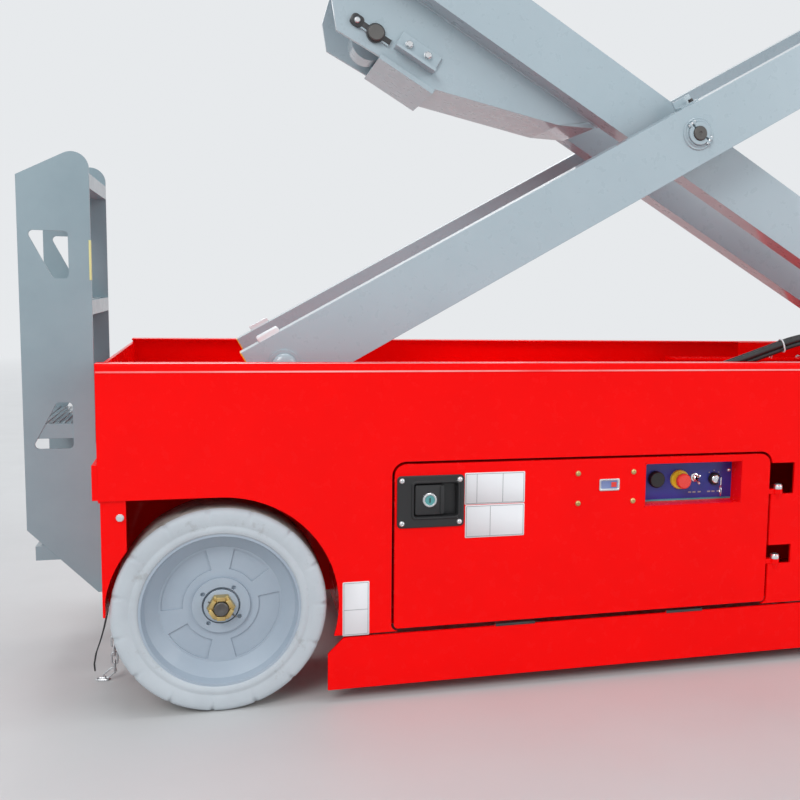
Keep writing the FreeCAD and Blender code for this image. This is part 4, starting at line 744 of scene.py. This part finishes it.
class LIFT_OT_panel_fittings(bpy.types.Operator):
    """Adds the blank labels, the meter window, the panel screws and the hinge pin heads"""
    bl_idname = "lift.panel_fittings"
    bl_label = "Panel fittings"

    def execute(self, context):
        self.label("right_door_label_upper", (449.5, 569.5), (370, 432), "right_door", (0.2, 0.63))
        self.label("right_door_label_lower", (451, 569.5), (305, 369), "right_door", (0.42,))
        self.label("right_arch_label", (218, 268), (128, 232), "chassis", (), (0.48,))
        self.meter()
        bm = bmesh.new()
        for x, z in ((679, 423.6), (680, 363.6), (797, 423.5), (797, 364.4)):
            dome_screw(bm, facing("right", AXLE_X + x, z), context.scene.lift_sizes.screw / MM)
        piece("right_door_screws", bm, "right_door", ("yellow_zinc",))
        bm = bmesh.new()
        hinge_x = corners("right_door")[1].x - 10
        for side, out in SIDES.items():
            hex_bolt(bm, facing(side, AXLE_X - 168, 371, 399), 11, 6)
            for z in (366, 216):
                lathe(bm, ((0, 10.4), (9.6, 10.4), (9.6, 17), (8, 20), (4.5, 21.6), (0, 22)),
                      Matrix.Translation((hinge_x, out * 402, z)), 28)
        piece("hinge_heads_and_bolts", bm, "chassis", ("bright_zinc",))
        return {"FINISHED"}

    def label(self, name, x, z, body, rises, rows=()):
        """Blank sticker with faint cell lines: across at rows, upright at rises."""
        wide, tall = x[1] - x[0], z[1] - z[0]
        place = facing("right", AXLE_X + sum(x) / 2, sum(z) / 2)
        inset, line, lift = 2.5, 0.5, (0.3, 0.55)
        side, top = wide / 2 - inset, tall / 2 - inset
        bm = bmesh.new()
        slab(bm, rounded(wide, tall, 2, 3), 0.05, 0.45, place, 0.1)
        for y in (-top, top) + tuple((r - 0.5) * tall for r in rows):
            block(bm, place, (-side, side), (y - line, y + line), lift, 1, 0)
        for u in (-side, side) + tuple((r - 0.5) * wide for r in rises):
            block(bm, place, (u - line, u + line), (-top, top), lift, 1, 0)
        piece(name, bm, body, ("label_white", "print_grey"))

    def meter(self):
        place = facing("right", AXLE_X + 745.5, 399)
        bm = bmesh.new()
        loft(bm, levels(place, (
            (rounded(43, 24, 3, 4), 0), (rounded(43, 24, 3, 4), 1.8), (rounded(39, 20, 2, 4), 2.4),
            (rounded(35, 16, 1.5, 4), 0.6))), caps=(None, 1))
        block(bm, place, (4, 15), (-5, 5), (0.5, 1), 2, 0)
        piece("right_door_meter", bm, "right_door", ("bright_zinc", "display_blue", "stop_red"))


class LIFT_OT_ground_controls(bpy.types.Operator):
    """Builds the recessed ground controls with their buttons and switches"""
    bl_idname = "lift.ground_controls"
    bl_label = "Ground controls"

    def execute(self, context):
        wide, tall, deep = CONTROL_HIGH.x - CONTROL_LOW.x, CONTROL_HIGH.z - CONTROL_LOW.z, 44
        middle = (CONTROL_LOW + CONTROL_HIGH) / 2
        place = facing("right", middle.x, middle.z)
        rim, inside = rounded(wide, tall, 4), rounded(wide - 4, tall - 4, 3)
        bm = bmesh.new()
        loft(bm, levels(place, ((rim, -deep - 3), (rim, 0), (inside, 0), (inside, -deep))),
             caps=(0, 1))
        face = at(place, -wide / 2, -tall / 2, -deep)
        black, yellow, red, chrome, teal, grey = 2, 3, 4, 5, 6, 7
        block(bm, face, (4, wide - 4), (2, 5), (0, 3), teal)
        lathe(bm, ((17, 0), (17, 9), (15, 12), (0, 12)), at(face, 43, 48), 40, black)
        stop = at(face, 96, 46)
        lathe(bm, ((20, 0), (20, 6.5), (19, 8), (10, 8)), stop, 48, yellow)
        lathe(bm, ((9, 7), (9, 15), (14, 16), (16, 20), (15.8, 26), (13.5, 29), (0, 30)), stop, 48,
              red)
        toggle = at(face, 131, 49)
        lathe(bm, ((9, 0), (9, 3), (6, 4), (6, 9), (3, 11)), toggle, 24, chrome)
        for lean in (-16, 20):
            lathe(bm, ((1.8, 8), (2.2, 20), (3.4, 23), (2.2, 26), (0, 26.5)),
                  toggle @ Matrix.Rotation(math.radians(lean), 4, "X"), 16, chrome)
        key = at(face, 176, 45)
        lathe(bm, ((13, 0), (13, 6), (11, 9), (8.6, 9)), key, 32, black)
        lathe(bm, ((8.6, 8), (8.6, 10), (7.4, 11), (0, 11)), key, 32, chrome)
        for angle in (50, 90, 130):
            a = math.radians(angle)
            lathe(bm, ((1.5, 0), (1.5, 0.7), (0, 0.7)), at(key, 17 * math.cos(a), 17 * math.sin(a)),
                  12, grey)
        block(bm, key, (-1, 1), (-4, 3), (10, 24), chrome)
        block(bm, key, (-1, 1), (-9, 8), (24, 33), chrome)
        for along in (118, 128, 140, 162, 172, 184):
            block(bm, at(face, along, 16), (0, 7), (0, 3), (0, 0.4), grey, 0)
        for along in (211, 9):
            dome_screw(bm, at(face, along, 62), 4, chrome)
        piece("ground_control_tray", bm, "right_door",
              ("chassis_red", "panel_blue", "black_moulding", "stop_yellow", "stop_red", "chrome",
               "key_teal", "print_grey"), replace=("ground_controls",))
        bm = bmesh.new()
        hang = at(key, 0, -19, 31) @ Matrix.Rotation(math.radians(70), 4, "Y")
        tube(bm, circle(hang, 11, 32), 0.9, 8, True)
        piece("ground_key_ring", bm, "right_door", ("chrome",))
        return {"FINISHED"}


class LIFT_OT_ladder_fittings(bpy.types.Operator):
    """Adds the ladder's tape, bolts, step tread, earth strap and chain"""
    bl_idname = "lift.ladder_fittings"
    bl_label = "Ladder fittings"

    def execute(self, context):
        rear = corners("rear_ladder")[0].x
        front, sheet = rear + 128, 5
        bm = bmesh.new()
        edge = Matrix.Translation((front, sheet / 2 - LADDER_Y, 0))
        block(bm, edge, (-3.5, 0.6), (-3.1, 3.1), (783, 859), 0, 0.2)
        piece("ladder_tape", bm, "chassis", ("tape_yellow",))
        bm = bmesh.new()
        for side, out in SIDES.items():
            for z in (188, 330):
                hex_bolt(bm, facing(side, front + 13, z, LADDER_Y), 13, 7)
            for z in (577, 556):
                hex_bolt(bm, turn_to((0, -out, 0),
                                     Vector((front - 30, out * (LADDER_Y - sheet), z))), 11, 6)
        piece("ladder_bolts", bm, "chassis", ("black_enamel",))
        bm = bmesh.new()
        for n in range(4):
            for k in range(9):
                bar = Matrix.Translation((rear + 26 + 11 * k, 0, 985 - 240 * n))
                block(bm, bar, (-2, 2), (-138, 138), (-0.1, 1.4), 0, 0.7)
        piece("ladder_tread_bars", bm, "chassis", ("ladder_grey",))
        self.strap()
        self.chain()
        return {"FINISHED"}

    def strap(self):
        """Rubber strip under the rear wall that turns edge-on towards its end."""
        y, thick = -288, 1.3
        spots = ((-1101.4, 214, 15), (-1101.6, 190, 15), (-1104.5, 165, 14), (-1110, 140, 13),
                 (-1117, 115, 11), (-1125, 92, 8), (-1129, 70, 3), (-1128, 56, 1))
        bm = bmesh.new()
        loft(bm, [[(x + dx, y + dy * half, z) for dx, dy in (
            (-thick, -1), (-thick, 1), (thick, 1), (thick, -1))] for x, z, half in spots],
             caps=(0, 0))
        hex_bolt(bm, turn_to((-1, 0, 0), Vector((REAR_WALL_X - 2 * thick, y, 204))), 11, 6)
        piece("earth_strap", bm, "chassis", ("rubber_black",))

    def chain(self):
        """Welded links hung on a bolt in the rear wall, the last one lying on the floor."""
        y, across, bend, pitch = -190, Vector((0, 1, 0)), 5.5, 17
        spots = [(Vector((-1103, y, 196 - pitch * n)), Vector((0, 0, -1))) for n in range(11)]
        spots += [(Vector((-1112.5, y, 14)), Vector((-0.8, 0, -0.6))),
                  (Vector((-1125.5, y + 0.5, 2.1)), Vector((-1, 0.1, 0)).normalized())]
        bm = bmesh.new()
        for n, (spot, along) in enumerate(spots):
            sideways = along.cross(across) if n % 2 else across
            points = []
            for k in range(20):
                a = math.tau * k / 20
                reach = 7 if math.cos(a) > 0 else -7
                points.append(spot + along * (reach + bend * math.cos(a))
                              + sideways * bend * math.sin(a))
            tube(bm, points, 1.9, 6, True)
        bolt = turn_to((-1, 0, 0), Vector((REAR_WALL_X, y, 203.6)))
        disc(bm, bolt, 3, 0, 5.5, 16)
        hex_bolt(bm, at(bolt, 0, 0, 5.2), 11, 6)
        piece("earth_chain", bm, "chassis", ("bright_zinc",))


class LIFT_OT_arm_pins(bpy.types.Operator):
    """Builds the arm pins with their split collars"""
    bl_idname = "lift.arm_pins"
    bl_label = "Arm pins"

    def execute(self, context):
        pinned = {1: (0, ARM_HALF), 2: (-ARM_HALF, 0, ARM_HALF), 3: (-ARM_HALF, 0)}
        for stage, spots in pinned.items():
            bm = bmesh.new()
            for side in SIDES:
                for along in spots:
                    self.pin(bm, on_arm("outer", stage, side, along, 0, 0))
            piece("arm_pins_%d_skin" % stage, bm, "outer_%d" % stage,
                  ("dark_steel", "arm_grey", "bright_zinc"), replace=("pins_%d" % stage,))
        return {"FINISHED"}

    def pin(self, bm, place):
        lathe(bm, ((0, 103), (15, 103), (15, 276.5), (13.5, 278), (4, 278), (2.5, 276.5),
                   (0, 276.5)), place, 40)
        weld_ring(bm, at(place, 0, 0, 268.2), 26, 2, 1)
        for start, end in ((-52, 98), (112, 294)):
            collar_half(bm, place, 15.4, 24, 268, 274.5, start, end, 1)
        for angle in (105, -59):
            turn = place @ Matrix.Rotation(math.radians(angle), 4, "Z")
            for y in ((-7, -2.2), (2.2, 7)):
                block(bm, turn, (21, 31), y, (268.2, 275), 1, 0.8)
            screw = at(turn, 26.5, 0, 271.5) @ Matrix.Rotation(math.pi / 2, 4, "X")
            disc(bm, screw, 3.4, -9.5, 9, 12, 2)


class LIFT_OT_arm_fittings(bpy.types.Operator):
    """Adds end caps, pads, caps, clips, weld beads and the cylinder pin's keeper"""
    bl_idname = "lift.arm_fittings"
    bl_label = "Arm fittings"

    def execute(self, context):
        for stage in (1, 2, 3):
            self.ends(stage, "outer", OUTER_INSIDE, OUTER_FACE)
            self.ends(stage, "inner", INNER_INSIDE, INNER_FACE)
        self.pads()
        self.pivot_caps()
        self.keeper()
        return {"FINISHED"}

    def ends(self, stage, kind, inside, face):
        """Plates in the tubes' ends, rims round them and beads round the bosses."""
        bm = bmesh.new()
        wall, rim, half, tip = 5.2, 5, ARM_DEEP / 2, ARM_HALF + ARM_END
        for side in SIDES:
            place = on_arm(kind, stage, side, 0, 0, 0)
            for end in (-1, 1):
                x = sorted((end * (tip - 7), end * (tip - 3)))
                block(bm, place, x, (wall - half, half - wall), (inside + wall, face - wall))
                yellow = (stage, kind, end) == (1, "outer", -1)
                x = sorted((end * tip, end * (tip + (2.2 if yellow else 0.6))))
                for y, z in (((-half, rim - half), (inside, face)),
                             ((half - rim, half), (inside, face)),
                             ((rim - half, half - rim), (inside, inside + rim)),
                             ((rim - half, half - rim), (face - rim, face))):
                    block(bm, place, x, y, z, int(yellow), 0)
            for along in (-ARM_HALF, 0, ARM_HALF):
                if (stage, kind, along) != (1, "outer", -ARM_HALF):
                    weld_ring(bm, on_arm(kind, stage, side, along, 0, face + 0.3), 31.5)
        piece("%s_arm_ends_%d" % (kind, stage), bm, "%s_%d" % (kind, stage),
              ("arm_grey", "edge_yellow"))

    def pads(self):
        """White rest pads and small guide clips on the lowest outer arms' upper faces."""
        bm = bmesh.new()
        clip = OUTER_INSIDE + 2
        for side in SIDES:
            top = on_arm("outer", 1, side, 0, ARM_DEEP / 2, 0)
            slab(bm, rounded(46, 12, 4, 3), OUTER_INSIDE + 6, OUTER_FACE - 1, at(top, -982, 4.6), 2)
            block(bm, top, (2, 46), (-0.5, 3.5), (clip + 2, clip + 32), 1, 1)
            block(bm, top, (2, 46), (0, 19), (clip, clip + 4), 1, 1)
            hex_bolt(bm, at(top, 36, 3.5, clip + 18) @ Matrix.Rotation(-math.pi / 2, 4, "X"),
                     10, 6, 2)
        piece("outer_arm_pads", bm, "outer_1", ("pad_white", "arm_grey", "black_enamel"))

    def pivot_caps(self):
        bm = bmesh.new()
        for side in SIDES:
            lathe(bm, ((0, 0.2), (23, 0.2), (23, 3), (20.5, 6.5), (15, 9), (7, 10.3), (0, 10.6)),
                  on_arm("outer", 1, side, -ARM_HALF, 0, OUTER_FACE + 5), 40)
        piece("pivot_caps", bm, "chassis", ("arm_grey",))

    def keeper(self):
        """Pin keeper, the bolted angle's screws and the bracket's weld beads."""
        along, above = -664, -168
        for side in SIDES:
            bm = bmesh.new()
            place = on_arm("inner", 1, side, along, above, INNER_INSIDE)
            lathe(bm, ((0, 0.5), (17, 0.5), (17, 14), (15, 16), (0, 16)), place, 40, 1)
            lathe(bm, ((17.2, 0.5), (19.5, 0.5), (19.5, 7.5), (17.2, 8)), place, 40)
            block(bm, place, (-40, 35), (-5.6, 5.6), (1, 8), 0, 1)
            lobe = at(place, -44, 0)
            slab(bm, rounded(28, 24, 9), 1, 8.4, lobe, 1)
            lathe(bm, ((0, 8), (6.4, 8), (6.4, 11), (4.6, 13), (0, 13.4)), lobe, 24, 2)
            if side == "right":
                for x, y in ((69, 19), (112.4, 21.9)):
                    hex_bolt(bm, at(place, x, y, 7), 13, 8, 2)
            piece("%s_eye_pin_keeper" % side, bm, "inner_1",
                  ("black_enamel", "dark_steel", "bright_zinc"))
        bm = bmesh.new()
        for side in SIDES:
            heel = on_arm("inner", 1, side, along, 0.4 - ARM_DEEP / 2, INNER_INSIDE + 0.8)
            weld_line(bm, heel @ Vector((-132, 0, 0)), heel @ Vector((506, 0, 0)))
        piece("bracket_welds", bm, "inner_1", ("arm_grey",))


class LIFT_OT_cylinder_fittings(bpy.types.Operator):
    """Adds the lift cylinder's gland, ports and weld bead"""
    bl_idname = "lift.cylinder_fittings"
    bl_label = "Cylinder fittings"

    def execute(self, context):
        low, high = corners("cylinder_barrel")[0], corners("cylinder_rod")[1]
        eye, head = Vector((low.x + 40, 0, low.z + 40)), Vector((high.x - 32, 0, high.z - 32))
        along = (head - eye).normalized()
        place = turn_to(along, eye)
        bm = bmesh.new()
        lathe(bm, ((29.5, 792), (53, 792), (53, 800), (52, 802), (52, 822), (54, 824), (54, 838),
                   (52, 841), (40, 841), (38, 845), (30, 845)), place, 56)
        for k in range(4):
            block(bm, place @ Matrix.Rotation(math.tau * (k + 0.5) / 4, 4, "Z"), (48, 54.6),
                  (-5, 5), (826, 836), 2)
        weld_ring(bm, at(place, 0, 0, 60), 50, 3, 1)
        piece("cylinder_gland", bm, "barrel", ("dark_steel", "arm_grey", "black_enamel"))
        bm = bmesh.new()
        upward = (Vector((0, 0, 1)) - along * along.z).normalized()
        for reach in (95, 770):
            port = turn_to(upward, eye + along * reach + upward * 49)
            lathe(bm, ((0, 0), (13, 0), (13, 9), (10, 9)), port, 32, 1)
            lathe(bm, ((10, 9), (10, 17), (8, 19), (0, 19)), port, 6)
        piece("cylinder_ports", bm, "barrel", ("bright_zinc", "arm_grey"))
        return {"FINISHED"}


class LIFT_OT_chassis_fittings(bpy.types.Operator):
    """Adds rail bolts, cover screws, tie-down trims, rolled panel edges with painted highlights,
    and black seam strips of painted shade
    """
    bl_idname = "lift.chassis_fittings"
    bl_label = "Chassis fittings"

    def execute(self, context):
        bm = bmesh.new()
        for out in SIDES.values():
            for x in (621, 710, 800, 1000, 1160):
                hex_bolt(bm, turn_to((0, -out, 0), Vector((x, out * 330, 600))), 12, 5)
            for x in (-1060, -700, -400, -100, 200, 560, 900, 1220):
                for y in (140, 386):
                    dome_screw(bm, Matrix.Translation((x, out * y, COVER_TOP)), 7)
        piece("rail_bolts_and_cover_screws", bm, "chassis", ("bright_zinc",))
        bm = bmesh.new()
        low, high = corners("end_walls")
        for out in SIDES.values():
            for x, ahead in ((low.x + 12, -1), (high.x, 1)):
                ring = turn_to((ahead, 0, 0), Vector((x, out * 340, 252)))
                lathe(bm, ((15, 0), (24, 0), (24, 2), (22, 4), (17, 4), (15, 2)), ring, 40, 0, True)
            for x in (-823, -733):
                weld_line(bm, Vector((x, out * 186, COVER_TOP + 1)),
                          Vector((x, out * 194, COVER_TOP + 1)))
        piece("tie_down_trims", bm, "chassis", ("chassis_red",))
        self.bends()
        self.seam_shade_strips()
        return {"FINISHED"}

    def bends(self):
        """Rolled upper edges of the side panels, their two ridges in pale glossy red as painted
        highlights.
        """
        low, high = corners("right_panel")
        # Faces of the two ridges that carry the painted highlight.
        highlight_faces = (1, 2, 6, 7)
        profile = ((405.1, 624), (405.5, 626), (406.0, 627.4), (405.8, 629), (405.6, 634),
                   (405.4, 638), (404.8, 640.6), (403, 642.4), (400.5, 642.8), (378, 642.8),
                   (375, 642.6), (372.9, 642.0), (372.2, 640.6), (372.4, 638.6), (380, 640),
                   (403, 639), (404, 624))
        bm = bmesh.new()
        for out in SIDES.values():
            ends = [[bm.verts.new((x, out * y, z)) for y, z in profile]
                    for x in (low.x + 1, high.x - 1)]
            for k in range(len(profile)):
                n = (k + 1) % len(profile)
                face = bm.faces.new((ends[0][k], ends[0][n], ends[1][n], ends[1][k]))
                face.material_index = int(k in highlight_faces)
            bm.faces.new(ends[0][::-1])
            bm.faces.new(ends[1])
        piece("panel_bends", bm, "chassis", ("chassis_red", "painted_highlight_red"), smooth=40)

    def seam_shade_strips(self):
        """Black strips over the pothole guards' hinge knuckles, where the seam shows them: painted
        shade that keeps the seam line dark.
        """
        for side, out in SIDES.items():
            low, high = corners(side + "_guard")
            across = Matrix(((0, 0, out), (out, 0, 0), (0, 1, 0))).to_4x4()
            bm = bmesh.new()
            for n in (1, 2, 3):
                spot = Vector((low.x + n * (high.x - low.x) / 4, out * 402, 125.7))
                collar_half(bm, Matrix.Translation(spot) @ across, 3.1, 4.25, -40.5, 40.5, -8, 188)
            piece(side + "_guard_seam_shade", bm, side + "_guard", ("rubber_black",))


class LIFT_OT_platform_fittings(bpy.types.Operator):
    """Adds the deck's tread pattern, rail collars and the upper control box's controls"""
    bl_idname = "lift.platform_fittings"
    bl_label = "Platform fittings"

    def execute(self, context):
        deck_low, deck_high = corners("platform_deck")
        rails_low, rails_high = corners("platform_rails")
        ext_low, ext_high = corners("extension_deck")
        floor, upper = rails_low.z, rails_low.z + 36
        self.tread("deck_tread", "platform", (deck_low.x + 60, ext_low.x - 30), (-330, 330),
                   deck_high.z)
        self.tread("extension_tread", "extension", (ext_low.x + 60, ext_high.x - 60), (-300, 300),
                   upper)
        self.collars("platform", (rails_low.x + 19, (deck_low.x + deck_high.x) / 2,
                                  rails_high.x - 19), 381, floor)
        self.collars("extension", (ext_low.x + 19, ext_high.x - 19), 337, upper)
        self.controls(rails_high.z - 60)
        return {"FINISHED"}

    def collars(self, body, spots, y, z):
        """Sockets with a bolt each way round the feet of the rail posts."""
        bm = bmesh.new()
        for out in SIDES.values():
            for x in spots:
                lathe(bm, ((18, 0.2), (23.5, 0.2), (23.5, 46), (22, 48), (18, 48)),
                      Matrix.Translation((x, out * y, z)), 32)
                for ahead in (1, -1):
                    bolt = turn_to((ahead, 0, 0), Vector((x, out * y, z + 30)))
                    hex_bolt(bm, at(bolt, 0, 0, 22.5), 11, 6, 1)
        piece(body + "_post_collars", bm, body, ("arm_grey", "bright_zinc"))

    def tread(self, name, body, x, y, z):
        """Low lozenges in a basket pattern, as on checker plate."""
        pitch, long, wide, ridge, tall = 34, 14, 3.6, 9, 1.6
        bm = bmesh.new()
        for i in range(int((x[1] - x[0]) / pitch)):
            for j in range(int((y[1] - y[0]) / pitch)):
                lean = math.radians(45 if (i + j) % 2 else -45)
                mid = Vector((x[0] + (i + 0.5) * pitch, y[0] + (j + 0.5) * pitch, z + 0.05))
                run = Vector((math.cos(lean), math.sin(lean), 0))
                across = Vector((-run.y, run.x, 0))
                a, b, c, d = [bm.verts.new(mid + way) for way in (
                    run * long, across * wide, -run * long, -across * wide)]
                lift = Vector((0, 0, tall - 0.05))
                front, back = [bm.verts.new(mid + run * reach + lift) for reach in (ridge, -ridge)]
                for face in ((a, b, front), (b, c, back, front), (c, d, back), (d, a, front, back),
                             (d, c, b, a)):
                    bm.faces.new(face)
        piece(name, bm, body, ("deck_plate",), smooth=20)

    def controls(self, top):
        """Plate, stop button, toggles and joystick boot on the box's sloping face."""
        mid_x = centre("control_box").x
        crest, foot = Vector((mid_x, -258, top)), Vector((mid_x, -187, top - 90))
        run, side = (foot - crest).normalized(), Vector((1, 0, 0))
        out = side.cross(run)
        out = -out if out.z < 0 else out
        face = Matrix.Translation((crest + foot) / 2) @ Matrix(
            (side, run, out)).transposed().to_4x4()
        bm = bmesh.new()
        slab(bm, rounded(164, 96, 5), 0.05, 1.6, face, 0.4, 1)
        lathe(bm, ((19, 0), (19, 2), (9, 2), (9, 9), (14, 11), (15, 17), (12, 21), (0, 21.5)),
              at(face, -54, 18, 1.6), 40, 2)
        for x in (-14, 12, 38):
            lathe(bm, ((7, 0), (7, 2), (4, 3), (3, 8), (2, 9), (2.4, 19), (0, 20)),
                  at(face, x, 24, 1.6), 20, 3)
        for x in (-74, 74):
            for y in (-40, 40):
                dome_screw(bm, at(face, x, y, 1.6), 3.6, 3)
        boot = Matrix.Translation((mid_x, -252, top - 14))
        profile = [(31, 0), (31, 16)]
        for k in range(4):
            profile += [(27 - 4 * k, 20 + 7 * k), (29 - 4 * k, 24 + 7 * k)]
        lathe(bm, profile + [(12.6, 50), (12.2, 52)], boot, 40)
        lathe(bm, ((12.3, 52), (13.5, 70), (14.5, 84), (12, 93), (0, 94.5)), boot, 32)
        piece("control_box_fittings", bm, "extension",
              ("rubber_black", "panel_blue", "stop_red", "chrome"))


class LIFT_PT_sidebar(bpy.types.Panel):
    """Lists the makers"""
    bl_idname = "LIFT_PT_sidebar"
    bl_label = "Scissor lift"
    bl_space_type = "VIEW_3D"
    bl_region_type = "UI"
    bl_category = "Lift"

    def draw(self, context):
        for group in (context.scene.lift_colours, context.scene.lift_sizes):
            for key in group.bl_rna.properties.keys():
                if key not in ("rna_type", "name"):
                    self.layout.prop(group, key)
        for maker in MAKERS:
            self.layout.operator(maker.bl_idname)


MAKERS = (LIFT_OT_stage, LIFT_OT_finishes, LIFT_OT_hoses, LIFT_OT_tyres, LIFT_OT_axle_nuts,
          LIFT_OT_latches, LIFT_OT_panel_fittings, LIFT_OT_ground_controls,
          LIFT_OT_ladder_fittings, LIFT_OT_arm_pins, LIFT_OT_arm_fittings,
          LIFT_OT_cylinder_fittings, LIFT_OT_chassis_fittings, LIFT_OT_platform_fittings)
CLASSES = (LiftColours, LiftSizes) + MAKERS + (LIFT_PT_sidebar,)


def register():
    for made in CLASSES:
        bpy.utils.register_class(made)
    bpy.types.Scene.lift_colours = bpy.props.PointerProperty(type=LiftColours)
    bpy.types.Scene.lift_sizes = bpy.props.PointerProperty(type=LiftSizes)


def unregister():
    del bpy.types.Scene.lift_sizes
    del bpy.types.Scene.lift_colours
    for made in reversed(CLASSES):
        bpy.utils.unregister_class(made)


def main():
    register()
    for maker in MAKERS:
        module, action = maker.bl_idname.split(".")
        getattr(getattr(bpy.ops, module), action)()


if __name__ == "__main__":
    main()
